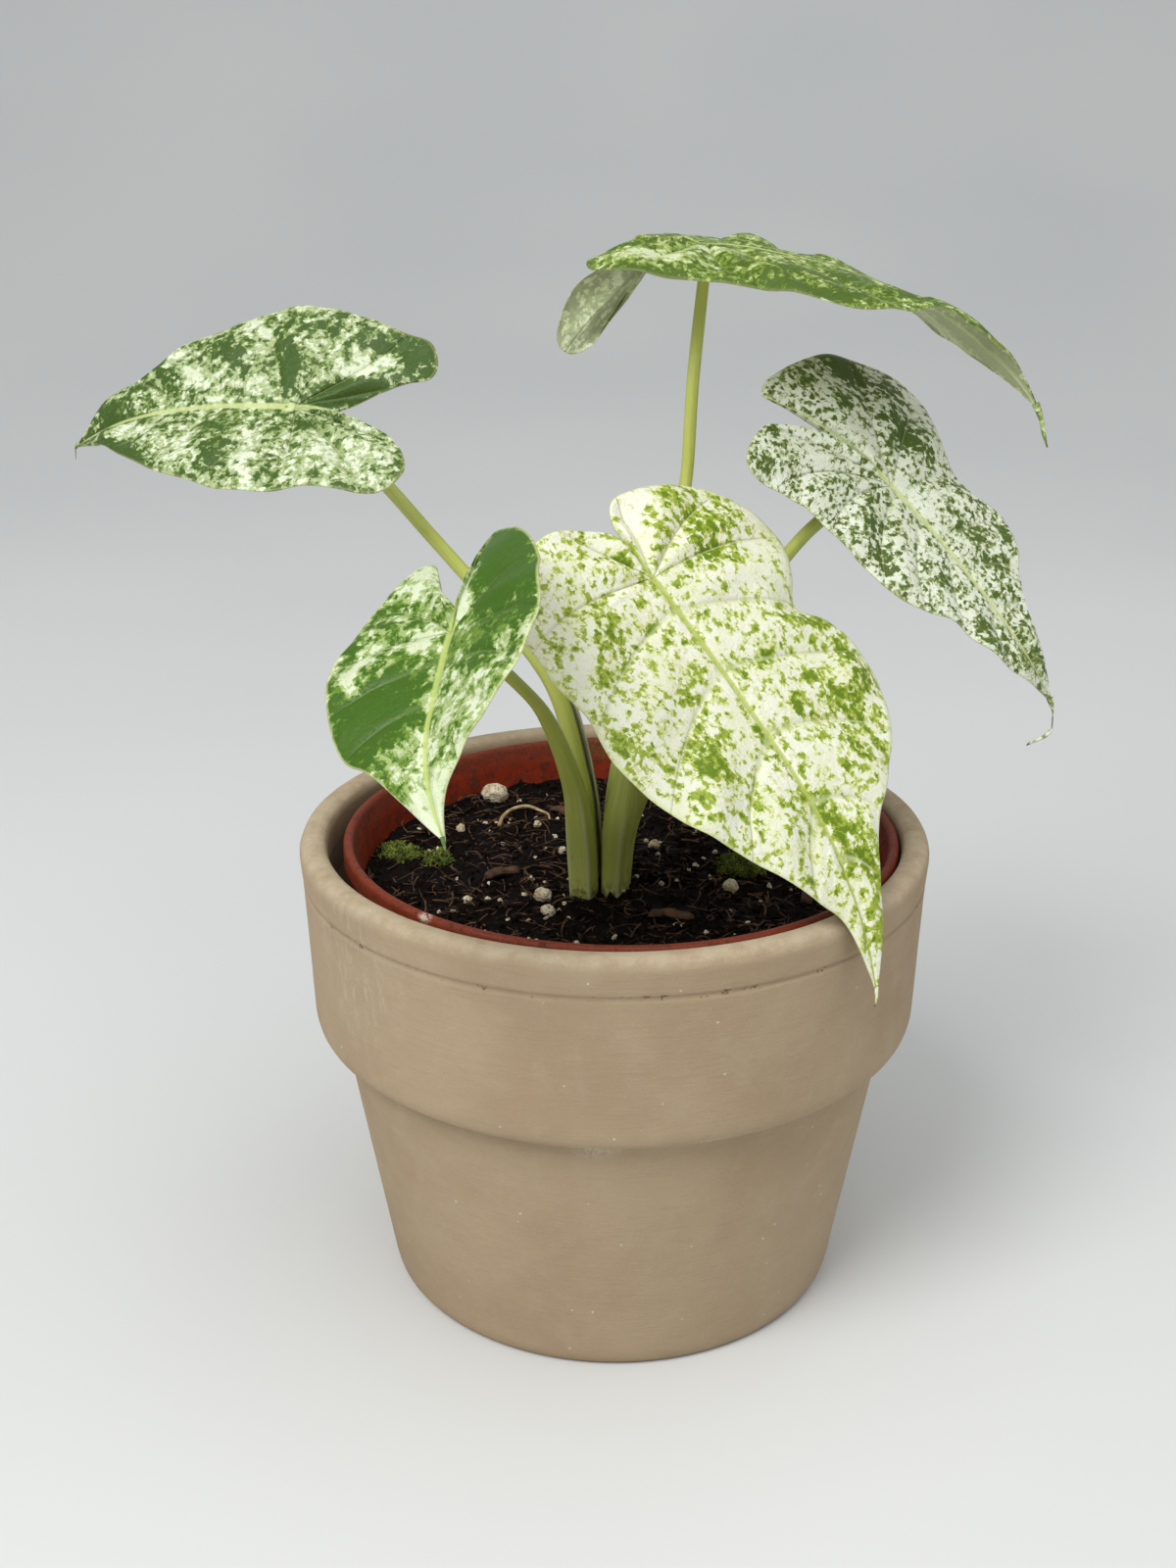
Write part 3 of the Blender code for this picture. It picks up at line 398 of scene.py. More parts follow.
def plastic_finish():
    """Thin red-brown moulded plastic, dusty and splashed with mix near the lip."""
    g = Finish("red_plastic")
    spot = g.place()
    x, y, z = g.split(spot)
    dust = g.noise(spot, 0.25, 6.0, 0.7)
    fine = g.noise(spot, 1.6, 4.0, 0.7)
    colour = g.mix(g.rise(dust, 0.4, 0.65), tone(134, 38, 7), tone(148, 48, 14))
    lip = g.rise(z, 100.5, 104.5)
    colour = g.mix(lip * 0.55, colour, tone(92, 42, 26))
    colour = g.mix(lip * g.rise(fine, 0.35, 0.7) * 0.3, colour, tone(150, 84, 58))
    dirt = g.rise(g.noise(spot, 0.45, 6.0, 0.75) + (1.0 - lip) * 0.05, 0.56, 0.66)
    colour = g.mix(dirt * 0.75, colour, tone(70, 44, 30))
    chip = g.blob(spot, (-38.5, -47.0, 105.5), (2.6, 2.2, 1.4)) * g.rise(fine, 0.4, 0.52)
    colour = g.mix(chip * 0.8, colour, tone(225, 205, 190))
    algae = g.blob(spot, (-2.0, 58.0, 104.0), (16.0, 5.0, 5.0)) * g.rise(fine, 0.45, 0.6)
    colour = g.mix(algae * 0.8, colour, tone(84, 92, 40))
    return g.close(colour, 0.5 + g.rise(dust, 0.35, 0.7) * 0.2, dust * 0.5 + fine * 0.2 + dirt * 0.6, 0.12,
                   Specular_IOR_Level=0.3)


def soil_finish(name, dark, light, scale):
    """Peat and bark fines: near black when damp, with brown bits."""
    g = Finish(name)
    spot = g.place()
    bits = g.noise(spot, scale, 5.0, 0.75)
    fine = g.noise(spot, scale * 4.5, 3.0, 0.7)
    colour = g.mix(g.rise(bits, 0.45, 0.68), dark, light)
    colour = g.mix(g.rise(fine, 0.58, 0.74) * 0.45, colour, tone(62, 40, 23))
    dark_patch = g.rise(g.noise(spot, 0.09, 2.0, 0.5), 0.45, 0.6)
    colour = g.mix(dark_patch * 0.4, colour, tone(10, 7, 5))
    return g.close(colour, 0.9 - dark_patch * 0.2, bits * 0.8 + fine * 0.5, 0.35, Specular_IOR_Level=0.1)


def fibre_finish(name, dark, light):
    """Dry plant fibre: streaked browns."""
    g = Finish(name)
    spot = g.place()
    body = g.noise(spot, 0.5, 3.0, 0.6)
    streak = g.noise(spot, 3.2, 3.0, 0.7)
    colour = g.mix(g.rise(body, 0.38, 0.62), dark, light)
    colour = g.mix(g.rise(streak, 0.5, 0.72) * 0.4, colour, tone(58, 40, 28))
    return g.close(colour, 0.8 + g.rise(body, 0.4, 0.6) * 0.1, streak, 0.15)


def perlite_finish():
    """Expanded volcanic glass: white, pitted, stained cream by the mix."""
    g = Finish("perlite_white")
    spot = g.place()
    stain = g.noise(spot, 0.45, 4.0, 0.65)
    pits = g.node("ShaderNodeTexVoronoi", {"feature": "F1"}, {"Vector": spot, "Scale": 1.7}, "Distance")
    colour = g.mix(g.rise(stain, 0.42, 0.66), tone(228, 216, 190), tone(196, 170, 128))
    # Painted shade: the pits are darkened.
    colour = g.mix((1.0 - g.rise(pits, 0.1, 0.35)) * 0.35, colour, tone(150, 130, 100))
    return g.close(colour, 0.86 + g.rise(stain, 0.4, 0.7) * 0.08, g.rise(pits, 0.05, 0.5), 0.3)


def moss_finish():
    """Moss: yellow-green shoot tips over dark green."""
    g = Finish("moss_green")
    spot = g.place()
    body = g.noise(spot, 0.5, 4.0, 0.65)
    fine = g.noise(spot, 3.0, 2.0, 0.6)
    colour = g.mix(g.rise(body, 0.36, 0.62), tone(48, 62, 12), tone(122, 136, 40))
    colour = g.mix(g.rise(fine, 0.5, 0.7) * 0.5, colour, tone(176, 184, 84))
    return g.close(colour, 0.75 + fine * 0.1, fine, 0.2)


def stalk_finish():
    """Petiole skin: olive green with pale long streaks, cleaner and paler at the foot."""
    g = Finish("petiole_skin")
    line = g.uv("skin", (60.0, 5.0, 1.0))
    streak = g.noise(line, 1.0, 4.0, 0.65)
    thin = g.noise(g.uv("skin", (220.0, 9.0, 1.0)), 1.0, 3.0, 0.6)
    spot = g.place()
    x, y, z = g.split(spot)
    blot = g.noise(spot, 0.09, 3.0, 0.6)
    colour = g.mix(g.rise(streak, 0.36, 0.66), tone(174, 182, 74), tone(196, 202, 104))
    colour = g.mix(g.rise(thin, 0.52, 0.7) * 0.4, colour, tone(210, 214, 130))
    colour = g.mix(g.rise(1.0 - thin, 0.55, 0.72) * 0.3, colour, tone(138, 148, 62))
    colour = g.mix(g.rise(blot, 0.5, 0.72) * 0.4, colour, tone(196, 202, 130))
    foot = 1.0 - g.rise(z, 96.0, 108.0)
    colour = g.mix(foot * 0.5, colour, tone(202, 202, 116))
    mud = (1.0 - g.rise(z, 96.0, 101.5)) * g.rise(g.noise(spot, 0.7, 5.0, 0.7), 0.42, 0.58)
    splash = (1.0 - g.rise(z, 97.0, 116.0)) * g.rise(g.noise(g.vector("MULTIPLY", spot, (1.0, 1.0, 0.3)),
                                                             0.9, 5.0, 0.75), 0.6, 0.66)
    colour = g.mix(mud * 0.85, colour, tone(74, 50, 32))
    colour = g.mix(splash * 0.6, colour, tone(108, 78, 46))
    edge = g.attribute("wing")
    colour = g.mix(edge * 0.6, colour, tone(206, 210, 158))
    return g.close(colour, 0.4 + g.rise(streak, 0.4, 0.7) * 0.1, streak * 0.6 + thin * 0.3 + mud, 0.1,
                   Subsurface_Weight=0.12, Subsurface_Scale=0.002)


def husk_finish():
    """Dry leaf sheath: translucent grey-green paper with long fibres."""
    g = Finish("dry_husk")
    line = g.uv("skin", (90.0, 6.0, 1.0))
    streak = g.noise(line, 1.0, 4.0, 0.7)
    colour = g.mix(g.rise(streak, 0.36, 0.66), tone(150, 152, 112), tone(196, 194, 160))
    colour = g.mix(g.rise(g.noise(g.place(), 0.3, 4.0, 0.6), 0.5, 0.7) * 0.4, colour, tone(138, 122, 84))
    return g.close(colour, 0.6 + g.rise(streak, 0.4, 0.7) * 0.15, streak, 0.12)


def corm_finish():
    """Corm skin: brown, ringed with leaf scars."""
    g = Finish("corm_skin")
    spot = g.place()
    rings = g.noise(g.vector("MULTIPLY", spot, (0.15, 0.15, 2.0)), 1.0, 4.0, 0.6)
    colour = g.mix(g.rise(rings, 0.35, 0.65), tone(84, 62, 42), tone(132, 108, 78))
    return g.close(colour, 0.8 + g.rise(rings, 0.4, 0.6) * 0.1, rings, 0.3)


# Leaf colours. size is the grain of the mottling per millimetre. mottle weighs its layers: wide patches,
# blotches, single cells and streaks that follow the veins. haze is the level where the lime tint
# begins, line and rim are how clearly the side veins and the margin show.
PALETTES = {
    "far_left": {"cream": (220, 227, 200), "lime": (152, 170, 110), "mid": (104, 130, 52), "dark": (54, 82, 22),
                 "size": 0.5, "mottle": (0.9, 1.7, 0.34, 0.9), "haze": 0.19, "line": 0.2, "rim": 0.2, "spine": (196, 206, 140)},
    "top": {"cream": (212, 220, 180), "lime": (150, 170, 84), "mid": (108, 134, 28), "dark": (66, 92, 14),
            "size": 0.5, "mottle": (0.8, 1.6, 0.36, 0.7), "haze": 0.2, "line": 0.15, "rim": 0.1, "spine": (186, 198, 112)},
    "right": {"cream": (224, 228, 210), "lime": (176, 186, 140), "mid": (112, 131, 56), "dark": (68, 90, 26),
              "size": 0.66, "mottle": (0.8, 2.1, 0.42, 0.2), "haze": 0.3, "line": 0.2, "rim": 0.2, "spine": (198, 206, 146)},
    "front": {"cream": (234, 233, 213), "lime": (200, 208, 120), "mid": (140, 161, 24), "dark": (94, 122, 8),
              "size": 0.5, "mottle": (1.3, 2.2, 0.3, 0.35), "haze": 0.29, "line": 0.5, "rim": 0.6, "spine": (176, 190, 88)},
    "low_left": {"cream": (216, 224, 192), "lime": (142, 166, 86), "mid": (92, 129, 20), "dark": (56, 94, 12),
                 "size": 0.42, "mottle": (1.2, 1.4, 0.28, 1.1), "haze": 0.2, "line": 0.12, "rim": 0.5, "spine": (186, 200, 112)},
}


def leaf_finish(key):
    """Variegated blade: cream ground, green cells that gather in the marks, pale veins and underside."""
    g = Finish("blade_" + key + "_skin")
    inks = PALETTES[key]
    seed = LEAVES[key]["seed"]
    cream, lime, mid, dark = (tone(*inks[name]) for name in ("cream", "lime", "mid", "dark"))
    flat = g.vector("ADD", g.uv("flat", (100.0, 100.0, 1.0)), (seed, seed * 2.0, 0.0))
    along = g.vector("ADD", g.uv("rib", (3.2, 9.0, 1.0)), (seed * 3.0, seed, 0.0))
    wander = g.node("ShaderNodeTexNoise", {}, {"Vector": flat, "Scale": 0.12, "Detail": 2.0}, "Color")
    warped = g.vector("ADD", flat, g.vector("MULTIPLY", wander, (4.0, 4.0, 0.0)))
    ragged = g.node("ShaderNodeTexNoise", {}, {"Vector": flat, "Scale": 1.1, "Detail": 3.0}, "Color")
    ragged = g.vector("ADD", flat, g.vector("MULTIPLY", ragged, (1.6, 1.6, 0.0)))
    patches = g.noise(warped, 0.2, 2.0, 0.5)
    blotches = g.noise(ragged, inks["size"], 3.0, 0.6)
    cells, shade, haze = g.split(g.node("ShaderNodeTexVoronoi", {"feature": "F1"},
                                        {"Vector": ragged, "Scale": 1.2}, "Color"))
    streaks = g.noise(along, 0.9, 6.0, 0.68)
    green = g.attribute("green")
    deep = g.attribute("deep")
    level = green * 0.86 + 0.07
    for layer, weight in zip((patches, blotches, cells, streaks), inks["mottle"]):
        level = level + (layer - 0.5) * weight
    haze = g.rise(level + (haze - 0.5) * 0.18, inks["haze"], inks["haze"] + 0.17)
    leafy = g.rise(level, 0.49, 0.52)
    other = g.noise(flat, 0.8, 4.0, 0.7)
    core = g.rise(level + (deep - 0.5) * 0.6 + (other - 0.5) * 1.4 + (shade - 0.5) * 0.25, 0.56, 0.76)
    tint = g.noise(flat, 0.11, 3.0, 0.6)
    base = g.mix(g.rise(tint, 0.42, 0.64) * 0.22, cream, lime)
    colour = g.mix(haze * 0.85, base, lime)
    colour = g.mix(leafy * 0.88, colour, mid)
    colour = g.mix(core * leafy * 0.92, colour, dark)
    specks = g.rise(g.noise(flat, 2.3, 2.0, 0.8), 0.6, 0.64) * g.rise(other, 0.4, 0.55)
    colour = g.mix(specks * 0.5, colour, mid)
    step, reach, nothing = g.split(g.uv("rib", (1.0, 1.0, 1.0)))
    gap = g.attribute("gap")
    nearest = abs(g.node("ShaderNodeMath", {"operation": "WRAP"}, {0: step + 0.5, 1: 1.0, 2: 0.0}) - 0.5)
    away = nearest * gap
    vein = (1.0 - g.rise(away, 0.06, 0.36)) * g.rise(1.0 - reach, 0.04, 0.3)
    spine = g.attribute("spine")
    ridge = 1.0 - g.rise(spine, 0.4, 0.8)
    pale = g.mix(0.6, cream, tone(178, 190, 92))
    stem = tone(*inks["spine"])
    colour = g.mix(vein * inks["line"], colour, pale)
    colour = g.mix(ridge * 0.85, colour, stem)
    rim = g.rise(reach, 0.972, 0.992)
    colour = g.mix(rim * inks["rim"], colour, tone(214, 220, 150))
    under = g.attribute("under")
    dull = g.mix(g.rise(tint, 0.4, 0.65) * 0.5, tone(222, 226, 196), tone(200, 208, 164))
    colour = g.mix(under * (0.75 - leafy * 0.3), colour, dull)
    colour = g.mix(under * (vein * 0.3 + ridge * 0.6), colour, tone(188, 194, 150))
    dry = g.attribute("dry")
    colour = g.mix(g.rise(dry, 0.2, 1.0), colour, tone(96, 66, 40))
    net = g.node("ShaderNodeTexVoronoi", {"feature": "DISTANCE_TO_EDGE"}, {"Vector": warped, "Scale": 0.42}, "Distance")
    mesh = g.rise(net, 0.0, 0.16)
    fine = g.noise(flat, 5.0, 3.0, 0.6)
    height = mesh * 0.15 + fine * 0.1 + blotches * 0.6 + other * 0.4 + g.rise(away, 0.0, 0.5) * 0.6
    gloss = 0.42 + g.rise(fine, 0.3, 0.7) * 0.1 + under * 0.15 - leafy * 0.04
    return g.close(colour, gloss, height, 0.3, Subsurface_Weight=0.12, Subsurface_Scale=0.0015,
                   Specular_IOR_Level=0.3)


# Building meshes

def new_piece(name, points, faces, material, stands_for=(), maps=None, values=None, merge=0.0,
              outward=False):
    """A finished piece: mesh, maps, material, and its place in the frame."""
    mesh = bpy.data.meshes.new(name)
    mesh.from_pydata(np.asarray(points).tolist(), [], faces)
    corner = np.zeros(len(mesh.loops), np.int32)
    mesh.loops.foreach_get("vertex_index", corner)
    for label, spots in (maps or {}).items():
        layer = mesh.uv_layers.new(name=label)
        layer.data.foreach_set("uv", np.asarray(spots, np.float32)[corner].ravel())
    for label, amounts in (values or {}).items():
        layer = mesh.attributes.new(label, "FLOAT", "POINT")
        layer.data.foreach_set("value", np.asarray(amounts, np.float32).ravel())
    if merge or outward:
        work = bmesh.new()
        work.from_mesh(mesh)
        if merge:
            bmesh.ops.remove_doubles(work, verts=work.verts, dist=merge)
        if outward:
            bmesh.ops.recalc_face_normals(work, faces=work.faces)
        work.to_mesh(mesh)
        work.free()
    mesh.shade_smooth()
    mesh.materials.append(material)
    return adopt(name, mesh, stands_for)


def adopt(name, mesh, stands_for=()):
    """Put a finished mesh in the scene, on the root body, and hide the CAD parts it stands for."""
    item = bpy.data.objects.new(name, mesh)
    bpy.context.scene.collection.objects.link(item)
    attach(item, "root")
    if stands_for:
        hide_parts(*stands_for)
    return item


def grid_faces(rows, columns, start=0, wrap=False, flip=False):
    """Quads of a grid of points kept row by row. wrap joins the last column to the first."""
    across = columns if wrap else columns - 1
    row, column = np.meshgrid(np.arange(rows - 1), np.arange(across), indexing="ij")
    here = start + row * columns + column
    there = start + row * columns + (column + 1) % columns
    faces = np.stack([here, there, there + columns, here + columns], -1).reshape(-1, 4)
    return faces[:, ::-1] if flip else faces


def smooth_path(points, t):
    """Points on the smooth curve through the rows of a list, t from 0 to 1."""
    p = np.asarray(points, float)
    q = np.vstack([2 * p[0] - p[1], p, 2 * p[-1] - p[-2]])
    place = np.clip(np.asarray(t, float), 0, 1) * (len(p) - 1)
    i = np.minimum(place.astype(int), len(p) - 2)
    f = (place - i)[..., None]
    a, b, c, d = q[i], q[i + 1], q[i + 2], q[i + 3]
    return 0.5 * (2 * b + (c - a) * f + (2 * a - 5 * b + 4 * c - d) * f ** 2
                  + (3 * b - 3 * c + d - a) * f ** 3)


def noise_at(points, size, seed=0.0):
    """Smooth noise from -1 to 1 at each point, for features of a size in the points' own unit."""
    spots = np.asarray(points, float) / size + seed
    return np.array([noise.noise(spot) for spot in spots.reshape(-1, 3).tolist()]).reshape(spots.shape[:-1])


def smooth_step(value, low, high):
    part = np.clip((value - low) / (high - low), 0, 1)
    return part * part * (3 - 2 * part)


class Blade:
    """The bent surface of one leaf, as in the CAD: x runs along the midrib from the navel, y to its left."""

    def __init__(self, spec):
        self.spec = spec
        heading, pitch, roll = (math.radians(spec[key]) for key in ("heading", "pitch", "roll"))
        along = Vector((math.cos(heading) * math.cos(pitch), math.sin(heading) * math.cos(pitch),
                        math.sin(pitch)))
        level = Vector((-math.sin(heading), math.cos(heading), 0.0))
        up = along.cross(level)
        side = level * math.cos(roll) + up * math.sin(roll)
        up = up * math.cos(roll) - level * math.sin(roll)
        length = spec["length"]
        self.x = np.linspace(SPINE_REACH[0], SPINE_REACH[1], SPINE_STEPS + 1) * length
        frames = np.array([self.turn(along, side, up, x / length) for x in self.x])
        self.side, self.up = frames[:, 1], frames[:, 2]
        step = self.x[1] - self.x[0]
        line = np.zeros((SPINE_STEPS + 1, 3))
        line[1:] = np.cumsum((frames[1:, 0] + frames[:-1, 0]) / 2 * step, axis=0)
        self.line = line + np.array(spec["navel"]) - self.read(line, 0.0)

    def bend(self, key, place):
        """A midrib bend in radians at a place given in leaf lengths."""
        back, middle, tip = self.spec[key]
        if place < 0:
            return math.radians(back) * min(-place / BEND_BACK, 1.0)
        if place < BEND_MIDDLE:
            return math.radians(middle) * place / BEND_MIDDLE
        part = min((place - BEND_MIDDLE) / (1 - BEND_MIDDLE), 1.0)
        return math.radians(middle + (tip - middle) * part)

    def turn(self, along, side, up, place):
        """Turn the leaf's own axes by the bends of one place on the midrib."""
        swing = Quaternion(up, self.bend("swing", place))
        along = swing @ along
        side = swing @ side
        droop = Quaternion(side, -self.bend("droop", place))
        along = droop @ along
        up = droop @ up
        twist = Quaternion(along, self.bend("twist", place))
        return along, twist @ side, twist @ up

    def read(self, values, x):
        """Read vectors kept at even steps along the midrib."""
        return np.stack([np.interp(x, self.x, values[:, i]) for i in range(3)], -1)

    def flat_to_space(self, x, y):
        """Places in millimetres of flat leaf points."""
        half = (y < 0).astype(int)
        fold = np.radians(np.array(self.spec["fold"], float))[half]
        fold += np.radians(np.array(self.spec["curl"], float))[half] * smooth_step(-x, *CURL_SPAN)
        back = np.minimum(x - self.spec["left"][0][0], 0.0)
        size = np.sqrt(y * y + 0.16) - 0.4
        lift = size * np.sin(fold) - np.array(self.spec["sag"])[half] * y * y * MM
        lift = lift - np.array(self.spec["hang"])[half] * back * back * MM
        return (self.read(self.line, x) + self.read(self.side, x) * (y * np.cos(fold))[..., None]
                + self.read(self.up, x) * lift[..., None])

    def normal(self, x, y):
        step = 0.3
        one = self.flat_to_space(x + step, y) - self.flat_to_space(x - step, y)
        two = self.flat_to_space(x, y + step) - self.flat_to_space(x, y - step)
        out = np.cross(one, two)
        return out / np.linalg.norm(out, axis=-1, keepdims=True)


def hump(x, y, spot):
    """A smooth hump of height 1 over an ellipse (x, y, length, width, turn)."""
    turn = math.radians(spot[4])
    dx, dy = x - spot[0], y - spot[1]
    one = (dx * math.cos(turn) + dy * math.sin(turn)) / spot[2]
    two = (dy * math.cos(turn) - dx * math.sin(turn)) / spot[3]
    return np.exp(-(one * one + two * two) * 1.4)


def half_blade(key, half, rows, columns):
    """One half of a blade: flat coordinates and everything that depends on them."""
    spec = LEAVES[key]
    length = spec["length"]
    dense = np.linspace(0, 1, 900)
    edges = [smooth_path(spec[name], dense) for name in ("left", "right")]
    steps = sum(np.linalg.norm(np.diff(edge, axis=0), axis=1) for edge in edges)
    travel = np.concatenate([[0], np.cumsum(steps)])
    t = np.interp(np.linspace(0, travel[-1], rows), travel, dense)
    both = [smooth_path(spec[name], t) for name in ("left", "right")]
    middle = (both[0][:, 0] + both[1][:, 0]) / 2
    start = length * (np.maximum(middle, 0) / length) ** RIB_SLANT
    start[-1] = length
    edge = both[half]
    u = np.linspace(0, 1, columns)
    across = 0.4 * u + 0.6 * (1 - np.cos(np.pi * u)) / 2
    x = start[:, None] + (edge[:, :1] - start[:, None]) * across
    y = edge[:, 1:] * across * (1 if half == 0 else -1)
    margin = np.clip(t * (len(spec[("left", "right")[half]]) - 1), 0, None)
    knots = spec["veins"][half]
    bent = margin[:, None] - 0.75 * across ** 2 * smooth_step(margin[:, None], knots[1], knots[2])
    vein = np.interp(bent, knots, np.arange(len(knots)))
    edge_step = np.gradient(np.concatenate([[0], np.cumsum(np.linalg.norm(np.diff(edge, axis=0), axis=1))]))
    vein_step = np.maximum(np.abs(np.gradient(vein[:, -1])), 1e-4)
    gap = np.clip(edge_step / vein_step, 2, 40)[:, None] * (0.12 + 0.88 * across)
    return x, y, np.broadcast_to(across, x.shape), vein, gap


def blade_relief(key, x, y, across, vein, gap):
    """Heights of the upper and lower skin over the smooth surface, and the midrib's half width."""
    spec = LEAVES[key]
    length = spec["length"]
    seed = spec["seed"]
    run = np.clip(x / length, 0, 1)
    rib_width = 1.15 * (1 - run) ** 0.7 + 0.22
    back = np.clip(-x / 12, 0, 1)
    rib_width = rib_width * (1 - 0.8 * back)
    groove = np.exp(-(y / rib_width) ** 2)
    away = np.abs((vein + 0.5) % 1.0 - 0.5) * gap
    fade = np.clip((1 - across) * 3, 0, 1)
    lateral = np.exp(-(away / 0.55) ** 2) * fade * smooth_step(across, 0.0, 0.1) * np.clip(vein * 3, 0, 1)
    puff = np.sin(np.pi * vein) ** 2 * np.clip(across * (1.06 - across) * 4, 0, 1) * np.clip(gap / 12, 0, 1) ** 1.5
    flat = np.stack([x, y, np.zeros_like(x)], -1)
    wave = 0.55 * noise_at(flat, 17.0, seed) + 0.28 * noise_at(flat, 7.0, seed + 5)
    ruffle = noise_at(flat, 9.0, seed + 9) * 0.75 * across ** 4
    calm = smooth_step(1 - run, 0.02, 0.25)
    height = calm * (spec["rumple"] * (wave * (0.35 + across) + ruffle) + 1.25 * puff) - 0.32 * groove
    height = height - 0.45 * lateral * calm * np.clip(gap / 8, 0.2, 1)
    for spot in spec["dents"]:
        height = height + spot[5] * hump(x, y, spot)
    roll = smooth_step(across, 0.955, 1.0)
    height = height - 0.3 * roll
    thick = 0.34 + 1.25 * groove * (1 - run) ** 0.8 * (1 - back) + 0.28 * lateral * calm
    thick = thick * (1 - 0.35 * roll)
    return height, height - thick, np.abs(y) / rib_width


def make_leaf(key, rows, columns, tail, material):
    """A blade with an upper and a lower skin, a rim and a fine drawn-out tip."""
    spec = LEAVES[key]
    blade = Blade(spec)
    points, faces, flat, rib = [], [], [], []
    values = {name: [] for name in ("green", "deep", "gap", "spine", "under", "dry")}
    count = rows * columns
    for half in (0, 1):
        x, y, across, vein, gap = half_blade(key, half, rows, columns)
        upper, lower, spine = blade_relief(key, x, y, across, vein, gap)
        place = blade.flat_to_space(x, y)
        out = blade.normal(x, y)
        ground, shade = spec["ground"]
        green = np.full(x.shape, ground)
        deep = np.full(x.shape, shade)
        for spot in spec["marks"]:
            there = hump(x, y, spot)
            green = green + spot[5] * there
            deep = deep + spot[6] * there
        dry = smooth_step(x, spec["length"] * 0.975, spec["length"] * 1.01)
        for skin, height in enumerate((upper, lower)):
            start = len(points) * count
            points.append((place + out * height[..., None]).reshape(-1, 3))
            faces += grid_faces(rows, columns, start, flip=(half == skin)).tolist()
            flat.append(np.stack([x, y], -1).reshape(-1, 2) / 100)
            rib.append(np.stack([vein, across], -1).reshape(-1, 2))
            for name, amount in (("green", green), ("deep", deep), ("gap", gap), ("spine", spine),
                                 ("under", np.full(x.shape, float(skin))), ("dry", dry)):
                values[name].append(amount.ravel())
        first = (len(points) - 2) * count + columns - 1
        top = first + np.arange(rows) * columns
        low = top + count
        band = np.stack([top[:-1], top[1:], low[1:], low[:-1]], -1)
        faces += (band if half else band[:, ::-1]).tolist()
    if tail:
        route, radii = tail
        tip = blade.flat_to_space(np.array([spec["length"] - 1.0]), np.array([0.0]))[0]
        start = len(points) * count
        ring, skin, around = tube(np.vstack([[tip], tip + np.array(route)]), radii, 24, 8)
        points.append(ring)
        faces += [[corner + start for corner in face] for face in skin]
        flat.append(around * (0.01, 1.0) @ np.array([[0.0, 1.0], [1.0, 0.0]]) + (spec["length"] / 100, 0.0))
        rib.append(np.tile([0.5, 0.5], (len(ring), 1)))
        rise = np.linspace(0, 1, 24).repeat(8)
        rise = np.concatenate([rise, [0.0, 1.0]])
        for name, amount in (("green", 0.5), ("deep", 0.3), ("gap", 10.0), ("spine", 3.0), ("under", 0.2)):
            values[name].append(np.full(len(ring), amount))
        values["dry"].append(smooth_step(rise, 0.55, 1.1))
    points = np.vstack(points) * MM
    low, high = (np.array(corner) for corner in CAD_BOX)
    points = np.clip(points, low, high)
    return new_piece("leaf_" + key, points, faces, material, ("blade_" + key,),
                     {"flat": np.vstack(flat), "rib": np.vstack(rib)},
                     {name: np.concatenate(amounts) for name, amounts in values.items()}, MERGE / 10, True)


def tube(route, radii, rows, sides, section=None):
    """A tapering tube along a route in millimetres: points, quads and (around, along) coordinates.

    Both ends are closed by a fan of triangles round a middle point."""
    t = np.linspace(0, 1, rows)
    line = smooth_path(route, t)
    radius = smooth_path(np.array(radii)[:, None], t)[:, 0]
    ahead = np.gradient(line, axis=0)
    ahead /= np.linalg.norm(ahead, axis=1, keepdims=True)
    one = np.cross(ahead[0], (0.0, 1.0, 0.0))
    turn = np.linspace(0, 2 * np.pi, sides, endpoint=False)
    rings = []
    for i in range(rows):
        one = one - ahead[i] * one.dot(ahead[i])
        one /= np.linalg.norm(one)
        two = np.cross(ahead[i], one)
        size = radius[i] * (section(turn, t[i]) if section else np.ones(sides))
        rings.append(line[i] + (np.cos(turn) * size)[:, None] * one + (np.sin(turn) * size)[:, None] * two)
    points = np.vstack(rings + [line[:1], line[-1:]])
    faces = grid_faces(rows, sides, wrap=True)
    side = np.arange(sides)
    last = (rows - 1) * sides
    foot, top = rows * sides, rows * sides + 1
    start = np.stack([(side + 1) % sides, side, np.full(sides, foot)], -1)
    end = np.stack([last + side, last + (side + 1) % sides, np.full(sides, top)], -1)
    travel = np.concatenate([[0], np.cumsum(np.linalg.norm(np.diff(line, axis=0), axis=1))])
    around = np.stack([np.tile(np.sin(turn / 2) ** 2, rows), np.repeat(travel, sides) / 100], -1)
    around = np.vstack([around, [[0.5, 0.0], [0.5, travel[-1] / 100]]])
    return points, faces.tolist() + np.vstack([start, end]).tolist(), around


